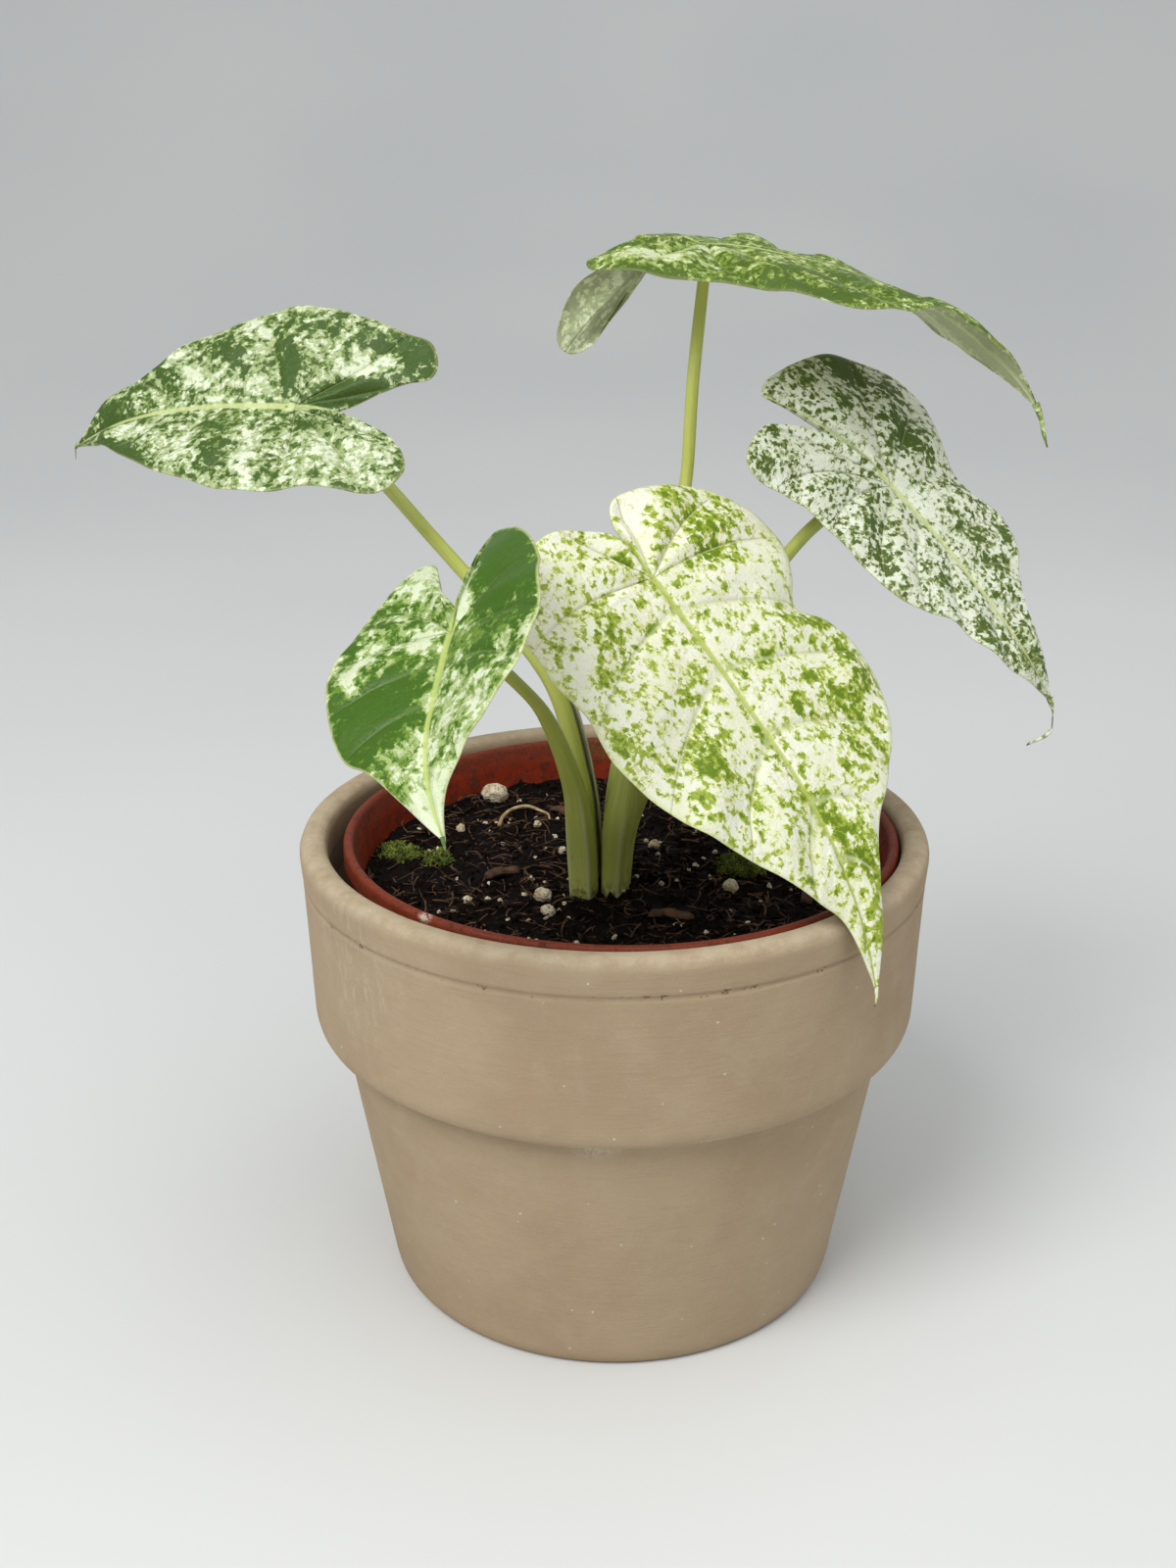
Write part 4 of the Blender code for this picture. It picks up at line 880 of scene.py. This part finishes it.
def make_petiole(key, material):
    """A petiole: sheathed and channelled near its foot, round above, ending under its blade."""
    blade = Blade(LEAVES[key])
    spec = PETIOLES[key]
    up = blade.read(blade.up, 0.0)
    navel = np.array(LEAVES[key]["navel"], float)
    foot = np.array([*spec["route"][0], PETIOLE_FOOT - 3.0])
    route = [foot] + [np.array(point) for point in spec["route"][1:]]
    route += [navel - up * 5.0, navel - up * 0.5]
    wide, sheath, top = spec["radius"]
    radii = [wide * 0.94, wide, sheath, (sheath + top) / 2, top * 1.04, top, top, top * 0.96, top * 1.45]
    inward = math.atan2(-11.3 - foot[1], -1.2 - foot[0]) + 0.6

    def section(turn, t):
        wing = 1.0 - smooth_step(t, 0.16, 0.42)
        away = np.angle(np.exp(1j * (turn - inward)))
        channel = -0.16 * np.exp(-(away / 0.42) ** 2)
        lips = 0.13 * (np.exp(-((away - 0.72) / 0.2) ** 2) + np.exp(-((away + 0.72) / 0.2) ** 2))
        return 1.0 + wing * (channel + lips) + 0.012 * np.sin(turn * 7 + t * 5)

    rows, sides = 150, 48
    points, faces, around = tube(route, radii, rows, sides, section)
    wing = [smooth_step(section(np.linspace(0, 2 * np.pi, sides, endpoint=False), t), 1.05, 1.11)
            for t in np.linspace(0, 1, rows)]
    wing = np.concatenate(wing + [[0.0, 0.0]])
    return new_piece("stalk_" + key, points * MM, faces, material, ("petiole_" + key,),
                     {"skin": around}, {"wing": wing}, 0.0, True)


def spun(profile, steps, centre=(0.0, 0.0), wobble=None):
    """A closed body turned from a profile of (radius, height) whose ends lie on the axis."""
    turn = np.linspace(0, 2 * np.pi, steps, endpoint=False)
    body = profile[1:-1]
    rings = [np.stack([r * np.cos(turn), r * np.sin(turn), np.full(steps, z)], -1) for r, z in body]
    points = np.vstack(rings)
    if wobble is not None:
        points = wobble(points)
    ends = np.array([[0, 0, profile[0][1]], [0, 0, profile[-1][1]]])
    points = np.vstack([points, ends]) + np.array([*centre, 0.0])
    faces = grid_faces(len(body), steps, wrap=True).tolist()
    side = np.arange(steps)
    last = (len(body) - 1) * steps
    start = np.stack([(side + 1) % steps, side, np.full(steps, len(points) - 2)], -1)
    end = np.stack([last + side, last + (side + 1) % steps, np.full(steps, len(points) - 1)], -1)
    return points, faces + np.vstack([start, end]).tolist()


def fair(profile, spacing, passes):
    """Add points to a profile so that none is further apart than the spacing, and ease its corners."""
    points = [np.array(profile[0], float)]
    for corner in profile[1:]:
        corner = np.array(corner, float)
        gap = np.linalg.norm(corner - points[-1])
        count = max(int(math.ceil(gap / spacing)), 1)
        start = points[-1]
        points += [start + (corner - start) * i / count for i in range(1, count + 1)]
    points = np.array(points)
    for i in range(passes):
        points[1:-1] = points[1:-1] * 0.5 + (points[:-2] + points[2:]) * 0.25
    return points


def make_cover_pot(material):
    """The clay cover pot: wide plain band with an incised line, soft corners, slightly uneven walls."""
    inside = fair([(0, 8), (45.6, 8), (46.5, 11), (61.5, 83), (63.8, 92)], 3.0, 1)
    lip = fair([(63.8, 92), (63.8, 104.6), (64.4, 106.2), (65.8, 107), (67.9, 107), (69.3, 106.2),
                (70, 104.4), (69.55, 99.1), (69.1, 98.7), (69.1, 98.3), (69.5, 97.9), (69.3, 95)], 0.45, 2)
    band = fair([(69.3, 95), (68.3, 66.8), (67.7, 64.8), (66.2, 63.6), (63.6, 63.1), (62.5, 62.2),
                 (62.2, 60.8), (61.4, 56)], 0.8, 2)
    foot = fair([(61.4, 56), (52.4, 2.2), (51.7, 0.7), (50.7, 0), (44, 0), (0, 0)], 1.6, 1)
    profile = np.vstack([inside[:-1], lip[:-1], band[:-1], foot])
    profile[0][0] = 0.0

    def wobble(points):
        out = points * (1, 1, 0)
        size = np.linalg.norm(out, axis=1, keepdims=True)
        swell = 0.11 * noise_at(points, 34.0, 2.0) + 0.05 * noise_at(points, 6.0, 8.0)
        inner = np.clip((size[:, 0] - 40) / 20, 0, 1) * (points[:, 2] > 1.5)
        return points + out / size * (swell * inner - 0.12)[:, None]

    points, faces = spun(profile, 150, wobble=wobble)
    points[:, 2] = np.clip(points[:, 2], 0, 107.0)
    return new_piece("clay_cover_pot", points * MM, faces, material, ("cover_pot",), outward=True)


def make_nursery_pot(material):
    """The thin plastic nursery pot: rolled lip, tapered wall and a floor with six drain holes."""
    floor = NURSERY_BOTTOM + 1.2

    def wall(height):
        share = (height - NURSERY_BOTTOM) / (NURSERY_TOP - 4.8 - NURSERY_BOTTOM)
        return NURSERY_BASE + (NURSERY_BODY - NURSERY_BASE) * share - NURSERY_WALL

    inner = wall(NURSERY_TOP - 4.8)
    inside = fair([(0, floor), (wall(floor) - 1.2, floor), (wall(floor + 1.2), floor + 1.2), (wall(90), 90)], 4.0, 0)
    lip = fair([(wall(90), 90), (inner, 101.2), (inner + 1.2, 105.3), (inner + 1.8, 106), (61.2, 106),
                (61.8, 105.3), (61.85, 101.6), (61.5, 101.2), (59.6, 101.2), (59.3, 100.6), (58.9, 98)], 0.5, 1)
    foot = fair([(58.9, 98), (NURSERY_BASE + 0.2, 9.3), (NURSERY_BASE - 1, NURSERY_BOTTOM), (0, NURSERY_BOTTOM)],
                4.0, 0)

    def wobble(points):
        out = points * (1, 1, 0)
        size = np.linalg.norm(out, axis=1, keepdims=True)
        swell = 0.12 * noise_at(points, 30.0, 5.0) - 0.13
        return points + out / size * (swell * np.clip((points[:, 2] - 80) / 20, 0, 1))[:, None]

    points, faces = spun(np.vstack([inside[:-1], lip[:-1], foot]), 163, NURSERY_SHIFT, wobble)
    shell = bpy.data.meshes.new("shell")
    shell.from_pydata((points * MM).tolist(), [], faces)
    work = bmesh.new()
    work.from_mesh(shell)
    bmesh.ops.recalc_face_normals(work, faces=work.faces)
    work.to_mesh(shell)
    work.free()
    holes = bmesh.new()
    for i in range(6):
        turn = math.pi * i / 3
        made = bmesh.ops.create_cone(holes, cap_ends=True, segments=24, radius1=4 * MM, radius2=4 * MM,
                                     depth=8 * MM)
        middle = Vector((NURSERY_SHIFT[0] + 31 * math.cos(turn), NURSERY_SHIFT[1] + 31 * math.sin(turn), 9)) * MM
        bmesh.ops.translate(holes, verts=made["verts"], vec=middle)
    cutter = bpy.data.meshes.new("drain_cutter")
    holes.to_mesh(cutter)
    holes.free()
    mesh = modified("red_nursery_pot", shell, "BOOLEAN", {"operation": "DIFFERENCE", "solver": "EXACT"},
                    {"object": cutter})
    mesh.shade_smooth()
    mesh.materials.clear()
    mesh.materials.append(material)
    return adopt("red_nursery_pot", mesh, ("nursery_pot",))


def modified(name, mesh, kind, settings, helpers=None):
    """A plain mesh made by one modifier. helpers are meshes that the modifier needs as objects."""
    carrier = bpy.data.objects.new(name + "_carrier", mesh)
    bpy.context.scene.collection.objects.link(carrier)
    made = carrier.modifiers.new("Work", kind)
    extra = []
    for key, value in settings.items():
        setattr(made, key, value)
    for key, helper in (helpers or {}).items():
        other = bpy.data.objects.new(name + "_helper", helper)
        bpy.context.scene.collection.objects.link(other)
        setattr(made, key, other)
        extra.append(other)
    result = bpy.data.meshes.new_from_object(carrier.evaluated_get(bpy.context.evaluated_depsgraph_get()))
    for item in [carrier] + extra:
        bpy.data.objects.remove(item, do_unlink=True)
    return result


def soil_height(x, y):
    """Height of the mix above its level, in millimetres: clods, a hollow near the wall, a rise at the stalks."""
    flat = np.stack([x, y, np.zeros_like(x)], -1)
    away = np.hypot(x - NURSERY_SHIFT[0], y - NURSERY_SHIFT[1])
    height = 1.1 * noise_at(flat, 15.0, 1.0) + 0.9 * noise_at(flat, 6.0, 4.0) + 0.6 * noise_at(flat, 2.6, 7.0)
    height = height + 0.35 * np.abs(noise_at(flat, 1.2, 9.0)) + 0.15 * noise_at(flat, 0.7, 12.0)
    height = height + 1.5 * np.exp(-(np.hypot(x + 1.2, y + 11.3) / 11) ** 2)
    return height + 0.7 * smooth_step(away, 48, 57) - 0.5


def make_soil(material):
    """The potting mix: a full body with a cloddy top. Returns its top as a mesh."""
    rings, steps = 118, 300
    away = np.sqrt(np.linspace(0, 1, rings)[1:]) * 0.4 + np.linspace(0, 1, rings)[1:] * 0.6
    turn = np.linspace(0, 2 * np.pi, steps, endpoint=False)
    x = NURSERY_SHIFT[0] + (away * SOIL_RADIUS)[:, None] * np.cos(turn)
    y = NURSERY_SHIFT[1] + (away * SOIL_RADIUS)[:, None] * np.sin(turn)
    z = SOIL_TOP + soil_height(x, y)
    top = np.stack([x, y, z], -1).reshape(-1, 3)
    lower = []
    for radius, height in ((56.4, 92.0), (51.0, 60.0), (46.0, 30.0), (42.6, 12.0), (40.5, 9.9)):
        lower.append(np.stack([NURSERY_SHIFT[0] + radius * np.cos(turn), NURSERY_SHIFT[1] + radius * np.sin(turn),
                               np.full(steps, height)], -1))
    peak = [NURSERY_SHIFT[0], NURSERY_SHIFT[1], z[0].mean()]
    points = np.vstack([top] + lower + [[peak], [[NURSERY_SHIFT[0], NURSERY_SHIFT[1], 9.9]]])
    faces = grid_faces(rings - 1 + 5, steps, wrap=True).tolist()
    side = np.arange(steps)
    last = (rings + 3) * steps
    faces += np.stack([(side + 1) % steps, side, np.full(steps, len(points) - 2)], -1).tolist()
    faces += np.stack([last + side, last + (side + 1) % steps, np.full(steps, len(points) - 1)], -1).tolist()
    new_piece("potting_mix", points * MM, faces, material, ("soil",), outward=True)
    bed = bpy.data.meshes.new("bed")
    used = (rings - 4) * steps
    bed.from_pydata((top[:used] * MM).tolist(), [], grid_faces(rings - 4, steps, wrap=True, flip=True).tolist())
    return bed


class Grower(Graph):
    """A geometry node tree with named inputs, that turns a base mesh into repeated small shapes."""

    def __init__(self, name, **inputs):
        super().__init__(bpy.data.node_groups.new(name, "GeometryNodeTree"))
        face = self.tree.interface
        face.new_socket("Base", in_out="INPUT", socket_type="NodeSocketGeometry")
        for label, kind in inputs.items():
            face.new_socket(label, in_out="INPUT", socket_type="NodeSocket" + kind)
        face.new_socket("Result", in_out="OUTPUT", socket_type="NodeSocketGeometry")
        self.start = self.node("NodeGroupInput", {}, {}, "Base")

    def read(self, label):
        return self.start.other(label)

    def between(self, kind, low, high, seed):
        """A random value for each instance."""
        out = {"FLOAT_VECTOR": 0, "FLOAT": 1}[kind]
        first = {"FLOAT_VECTOR": 0, "FLOAT": 2}[kind]
        return self.node("FunctionNodeRandomValue", {"data_type": kind},
                         {first: low, first + 1: high, "Seed": seed}, out)

    def finish(self, instances):
        """Realise the instances, give them the material and end the tree."""
        real = self.node("GeometryNodeRealizeInstances", {}, {"Geometry": instances})
        real = self.node("GeometryNodeSetMaterial", {}, {"Geometry": real, "Material": self.read("Finish")})
        self.node("NodeGroupOutput", {}, {"Result": real})

    def grow(self, name, base, **values):
        """Run the tree on a base mesh and return the result as a plain mesh."""
        carrier = bpy.data.objects.new(name + "_carrier", base)
        bpy.context.scene.collection.objects.link(carrier)
        made = carrier.modifiers.new("Grow", "NODES")
        made.node_group = self.tree
        for item in self.tree.interface.items_tree:
            if item.in_out == "INPUT" and item.name in values:
                made[item.identifier] = values[item.name]
        result = bpy.data.meshes.new_from_object(carrier.evaluated_get(bpy.context.evaluated_depsgraph_get()))
        bpy.data.objects.remove(carrier, do_unlink=True)
        return result


def lump_grower():
    """Scatters broken lumps: crumbs of peat or grains of perlite."""
    g = Grower("lumps", Density="Float", Seed="Int", Small="Vector", Large="Vector", Finish="Material")
    spots = g.node("GeometryNodeDistributePointsOnFaces", {},
                   {"Mesh": g.start, "Density": g.read("Density"), "Seed": g.read("Seed")}, "Points")
    ball = g.node("GeometryNodeMeshUVSphere", {}, {"Radius": 1.0, "Segments": 7, "Rings": 4}, "Mesh")
    rough = g.node("ShaderNodeTexNoise", {}, {"Scale": 0.9, "Detail": 2.0}, "Color")
    push = g.vector("SUBTRACT", rough, (0.5, 0.5, 0.5))
    ball = g.node("GeometryNodeSetPosition", {}, {"Geometry": ball,
                                                  "Offset": g.vector("MULTIPLY", push, (1.9, 1.9, 1.9))})
    turn = g.between("FLOAT_VECTOR", (0.0, 0.0, 0.0), (6.28, 6.28, 6.28), 3)
    size = g.between("FLOAT_VECTOR", g.read("Small"), g.read("Large"), 5)
    g.finish(g.node("GeometryNodeInstanceOnPoints", {}, {"Points": spots, "Instance": ball, "Rotation": turn,
                                                         "Scale": size}))
    return g


def strand_grower():
    """Scatters short bent strands: peat fibres lying flat, or moss shoots standing on a mound."""
    g = Grower("strands", Density="Float", Seed="Int", Small="Vector", Large="Vector", Tilt="Vector",
               Thickness="Float", Bends="Int", Sides="Int", Finish="Material")
    made = g.node("GeometryNodeDistributePointsOnFaces", {},
                  {"Mesh": g.start, "Density": g.read("Density"), "Seed": g.read("Seed")}, "Points")
    bent = g.node("GeometryNodeCurveQuadraticBezier", {}, {"Resolution": g.read("Bends"), "Start": (-0.5, 0.0, 0.0),
                                                           "Middle": (0.05, 0.42, 0.1), "End": (0.5, 0.0, 0.06)})
    ring = g.node("GeometryNodeCurvePrimitiveCircle", {}, {"Resolution": g.read("Sides"), "Radius": g.read("Thickness")})
    strand = g.node("GeometryNodeCurveToMesh", {}, {"Curve": bent, "Profile Curve": ring, "Fill Caps": True})
    wide = g.read("Tilt")
    turn = g.between("FLOAT_VECTOR", g.vector("MULTIPLY", wide, (-1.0, -1.0, -1.0)), wide, 3)
    size = g.between("FLOAT_VECTOR", g.read("Small"), g.read("Large"), 5)
    g.finish(g.node("GeometryNodeInstanceOnPoints", {}, {"Points": made, "Instance": strand, "Rotation": turn,
                                                         "Scale": size}))
    return g


def lump(centre, size, rough, detail, seed):
    """Points and faces of one rough lump in millimetres."""
    work = bmesh.new()
    bmesh.ops.create_icosphere(work, subdivisions=detail, radius=1.0)
    points = np.array([vert.co for vert in work.verts])
    faces = [[vert.index for vert in face.verts] for face in work.faces]
    work.free()
    swell = 1 + rough * noise_at(points, 0.75, seed) + rough * 0.5 * noise_at(points, 0.3, seed + 3)
    return points * swell[:, None] * np.array(size) + np.array(centre), faces


def frame_spot(node):
    """Middle and half size in millimetres of a CAD node's box."""
    low, high = (np.array(corner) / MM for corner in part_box(node))
    return (low + high) / 2, (high - low) / 2


def make_grains(material):
    """The larger perlite grains, one piece for each CAD grain."""
    for i in range(1, 11):
        node = "perlite_grain_" + str(i)
        middle, half = frame_spot(node)
        points, faces = lump(middle, half * 0.97, 0.24, 4, 10.0 * i)
        rise = SOIL_TOP + soil_height(middle[:1], middle[1:2])[0] + half[2] * 0.55 - middle[2]
        points[:, 2] += rise
        new_piece("perlite_" + str(i), points * MM, faces, material, (node,), outward=True)


def make_moss(material, strands):
    """Moss cushions: a low mound with standing shoots."""
    for i in range(1, 4):
        node = "moss_tuft_" + str(i)
        middle, half = frame_spot(node)
        centre = middle.copy()
        centre[2] = SOIL_TOP + soil_height(middle[:1], middle[1:2])[0] - 0.2
        points, faces = lump(centre, half * np.array([0.9, 0.9, 1.5]), 0.34, 4, 20.0 * i)
        mound = bpy.data.meshes.new("mound")
        mound.from_pydata((points * MM).tolist(), [], faces)
        shoots = strands.grow("shoots", mound.copy(), Density=8.0e6, Seed=i, Small=(0.001, 0.0008, 0.001),
                              Large=(0.0032, 0.0022, 0.0032), Tilt=(3.1, 3.1, 3.1), Thickness=0.09, Bends=3, Sides=3,
                              Finish=material)
        work = bmesh.new()
        work.from_mesh(mound)
        work.from_mesh(shoots)
        mesh = bpy.data.meshes.new("moss_cushion_" + str(i))
        work.to_mesh(mesh)
        work.free()
        mesh.shade_smooth()
        mesh.materials.append(material)
        adopt("moss_cushion_" + str(i), mesh, (node,))


def make_bark(material):
    """Bark chips: split, layered flakes."""
    turns = (25, -15, 60, -40, 80)
    for i, turn in enumerate(turns, 1):
        node = "bark_chip_" + str(i)
        middle, half = frame_spot(node)
        angle = math.radians(turn)
        length = (8.2, 10, 9, 7.4, 7.4)[i - 1] / 2
        width = (2.6, 3.1, 3.6, 2.6, 2.6)[i - 1] / 2
        x, y = np.meshgrid(np.linspace(-1, 1, 46), np.linspace(-1, 1, 20), indexing="ij")
        flat = np.stack([x * length, y * width, np.zeros_like(x)], -1)
        ragged = 1 - 0.22 * np.abs(noise_at(flat * (0.2, 1, 1), 0.5, 3.0 * i))
        cross = 1 - 0.25 * np.abs(noise_at(flat * (1, 0.2, 1), 1.1, 5.0 * i))
        bow = 0.28 * (1 - x * x) * 2 + 0.35 * noise_at(flat, 3.0, 7.0 * i)
        grain = 0.16 * noise_at(flat * (0.2, 2.2, 1), 0.8, 9.0 * i)
        edge = (1 - x ** 8) * (1 - y ** 8)
        points = []
        for sign in (1, -1):
            z = bow + grain * sign + sign * 0.62 * edge ** 0.5
            px = x * length * ragged
            py = y * width * cross
            points.append(np.stack([px * math.cos(angle) - py * math.sin(angle),
                                    px * math.sin(angle) + py * math.cos(angle), z], -1).reshape(-1, 3))
        faces = grid_faces(46, 20).tolist() + grid_faces(46, 20, 920, flip=True).tolist()
        ring = list(range(20)) + list(range(39, 920, 20)) + list(range(918, 899, -1)) + list(range(880, 0, -20))
        faces += [[a, b, b + 920, a + 920] for a, b in zip(ring, ring[1:] + ring[:1])]
        centre = middle.copy()
        centre[2] = SOIL_TOP + soil_height(middle[:1], middle[1:2])[0] + 0.7
        new_piece("bark_flake_" + str(i), (np.vstack(points) + centre) * MM, faces, material, (node,),
                  merge=MERGE, outward=True)


def make_rootlet(material):
    """A pale dry rootlet that arches over the mix, thinning and kinked."""
    route = [(-27, 26, 0), (-26.2, 29, 0.9), (-24, 32.4, 1.6), (-20.5, 34, 2.0), (-17.4, 32.4, 1.7),
             (-15.4, 29.6, 0.9), (-15, 27.5, 0.1)]
    spots = np.array(route, float)
    spots[:, 2] += SOIL_TOP + soil_height(spots[:, 0], spots[:, 1]) + 0.2
    points, faces, around = tube(spots, [0.5, 0.44, 0.42, 0.36, 0.3, 0.2], 60, 12)
    new_piece("dry_rootlet", points * MM, faces, material, ("rootlet",), {"skin": around}, outward=True)


def make_sheath(material):
    """The dry sheath: thin, pointed, wrapped round the back of the far left petiole."""
    blade = Blade(LEAVES["far_left"])
    spec = PETIOLES["far_left"]
    navel = np.array(LEAVES["far_left"]["navel"], float)
    up = blade.read(blade.up, 0.0)
    route = [np.array([*spec["route"][0], PETIOLE_FOOT])] + [np.array(point) for point in spec["route"][1:]]
    route += [navel - up * 5.0, navel - up * 0.8]
    rows, columns = 70, 34
    t = np.linspace(0, 1, rows)
    centre = smooth_path(route, t * 0.36)
    narrow = np.sqrt(np.maximum(1 - t ** 3, 0.0004))
    u = np.linspace(-1, 1, columns)
    angle = math.radians(37.5) + math.radians(62.5) * narrow[:, None] * u
    flute = 0.16 * np.sin(u * 17)[None, :] + 0.22 * noise_at(
        np.stack([np.broadcast_to(u * 3, (rows, columns)), np.broadcast_to(t[:, None] * 6, (rows, columns)),
                  np.zeros((rows, columns))], -1), 1.0, 2.0)
    radius = 3.6 - 0.5 * t[:, None] + flute
    points = []
    for thick in (0.11, -0.11):
        size = radius + thick
        points.append((centre[:, None, :] + np.stack([size * np.cos(angle), size * np.sin(angle),
                                                      np.zeros_like(angle)], -1)).reshape(-1, 3))
    count = rows * columns
    faces = grid_faces(rows, columns).tolist() + grid_faces(rows, columns, count, flip=True).tolist()
    ring = list(range(columns)) + list(range(2 * columns - 1, count, columns))
    ring += list(range(count - 2, count - columns - 1, -1)) + list(range(count - 2 * columns, 0, -columns))
    faces += [[a, b, b + count, a + count] for a, b in zip(ring, ring[1:] + ring[:1])]
    skin = np.stack([np.tile(u * 0.5, rows), np.repeat(t * 0.2, columns)], -1)
    new_piece("papery_sheath", np.vstack(points) * MM, faces, material, ("dry_sheath",),
              {"skin": np.vstack([skin, skin])}, outward=True)


def set_stage():
    """Pale floor that curves up into a backdrop, soft lights and the camera."""
    g = Finish("pale_studio")
    cloud = g.noise(g.place(), 0.002, 2.0, 0.5)
    ground = g.close(g.mix(g.rise(cloud, 0.3, 0.7), tone(214, 215, 214), tone(220, 221, 219)),
                     0.9 + cloud * 0.05, Specular_IOR_Level=0.1)
    path = fair([(-3.0, 0), (1.2, 0), (1.8, 0.25), (2.0, 0.9), (2.0, 4.0)], 0.1, 30)
    points = np.array([[x, y, z] for y, z in path for x in (-4.0, 4.0)])
    mesh = bpy.data.meshes.new("floor")
    mesh.from_pydata(points.tolist(), [], grid_faces(len(path), 2, flip=True).tolist())
    mesh.shade_smooth()
    mesh.materials.append(ground)
    floor = bpy.data.objects.new("floor", mesh)
    bpy.context.scene.collection.objects.link(floor)
    world = bpy.data.worlds.new("studio")
    bpy.context.scene.world = world
    world.use_nodes = True
    sky = world.node_tree.nodes["Background"]
    sky.inputs["Color"].default_value = (0.93, 0.97, 1.0, 1.0)
    sky.inputs["Strength"].default_value = 0.4
    bpy.context.scene.view_settings.view_transform = "Standard"
    lamps = [("window", (-0.62, -0.84, 1.25), 0.8, 16.0), ("fill", (1.0, -1.0, 0.8), 1.2, 1.3),
             ("top", (0.3, -0.25, 1.5), 2.0, 10.0)]
    for name, place, size, power in lamps:
        data = bpy.data.lights.new(name, "AREA")
        data.shape = "DISK"
        data.size = size
        data.energy = power
        lamp = bpy.data.objects.new(name, data)
        lamp.location = place
        lamp.rotation_euler = (Vector((0.0, 0.0, 0.12)) - Vector(place)).to_track_quat("-Z", "Y").to_euler()
        bpy.context.scene.collection.objects.link(lamp)
    data = bpy.data.cameras.new("camera")
    data.lens = CAMERA_LENS
    data.sensor_width = 36.0
    camera = bpy.data.objects.new("camera", data)
    camera.location = CAMERA_PLACE
    camera.rotation_euler = (math.radians(90 - CAMERA_TILT), 0.0, 0.0)
    bpy.context.scene.collection.objects.link(camera)
    bpy.context.scene.camera = camera


set_stage()
make_cover_pot(clay_finish())
make_nursery_pot(plastic_finish())
mix_skin = soil_finish("peat_mix", tone(7, 4, 3), tone(28, 17, 10), 0.7)
bed = make_soil(mix_skin)
lumps = lump_grower()
strands = strand_grower()
crumbs = lumps.grow("crumbs", bed.copy(), Density=1.5e5, Seed=4, Small=(0.0003, 0.0003, 0.00025),
                    Large=(0.0016, 0.0012, 0.0009), Finish=soil_finish("peat_crumbs", tone(9, 6, 4),
                                                                      tone(46, 29, 16), 1.1))
adopt("peat_crumbs", crumbs)
fibres = strands.grow("fibres", bed.copy(), Density=1.3e5, Seed=9, Small=(0.002, 0.001, 0.0008),
                      Large=(0.009, 0.007, 0.004), Tilt=(0.6, 0.4, 3.14), Thickness=0.042, Bends=5, Sides=4,
                      Finish=fibre_finish("peat_fibre", tone(32, 19, 11), tone(104, 70, 42)))
adopt("peat_fibres", fibres)
specks = lumps.grow("specks", bed.copy(), Density=1.3e4, Seed=21, Small=(0.0003, 0.0003, 0.0003),
                    Large=(0.001, 0.0009, 0.0008), Finish=perlite_finish())
adopt("perlite_specks", specks)
white = perlite_finish()
make_grains(white)
make_moss(moss_finish(), strands)
make_bark(fibre_finish("bark_brown", tone(62, 40, 26), tone(104, 70, 44)))
make_rootlet(fibre_finish("rootlet_pale", tone(170, 140, 96), tone(206, 184, 142)))
make_sheath(husk_finish())
skin = stalk_finish()
for key in PETIOLES:
    make_petiole(key, skin)
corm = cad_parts["corm"]
corm.data.materials.clear()
corm.data.materials.append(corm_finish())

TAILS = {
    "far_left": ([(-1.2, -0.2, -1.0), (-2.0, -0.4, -2.4), (-1.6, -0.6, -3.4)], [0.5, 0.4, 0.3, 0.12]),
    "top": ([(1.4, -0.2, -3.2), (2.2, -0.5, -6.5), (3.2, -0.7, -9.5)], [0.9, 0.6, 0.45, 0.15]),
    "right": ([(1.2, -0.6, -3.2), (1.5, -1.0, -6.0), (-0.6, -1.2, -8.6), (-4.0, -1.2, -10.4), (-4.6, -1.2, -10.9)],
              [0.9, 0.6, 0.5, 0.45, 0.3, 0.1]),
    "front": ([(0.0, -0.5, -2.0), (-0.2, -0.8, -4.0)], [0.42, 0.32, 0.12]),
    "low_left": ([(0.3, -0.4, -1.2), (0.6, -0.8, -2.4)], [0.42, 0.3, 0.12]),
}
SIZES = {"far_left": (220, 44), "top": (240, 48), "right": (260, 46), "front": (290, 56), "low_left": (220, 44)}
for key in LEAVES:
    make_leaf(key, *SIZES[key], TAILS[key], leaf_finish(key))
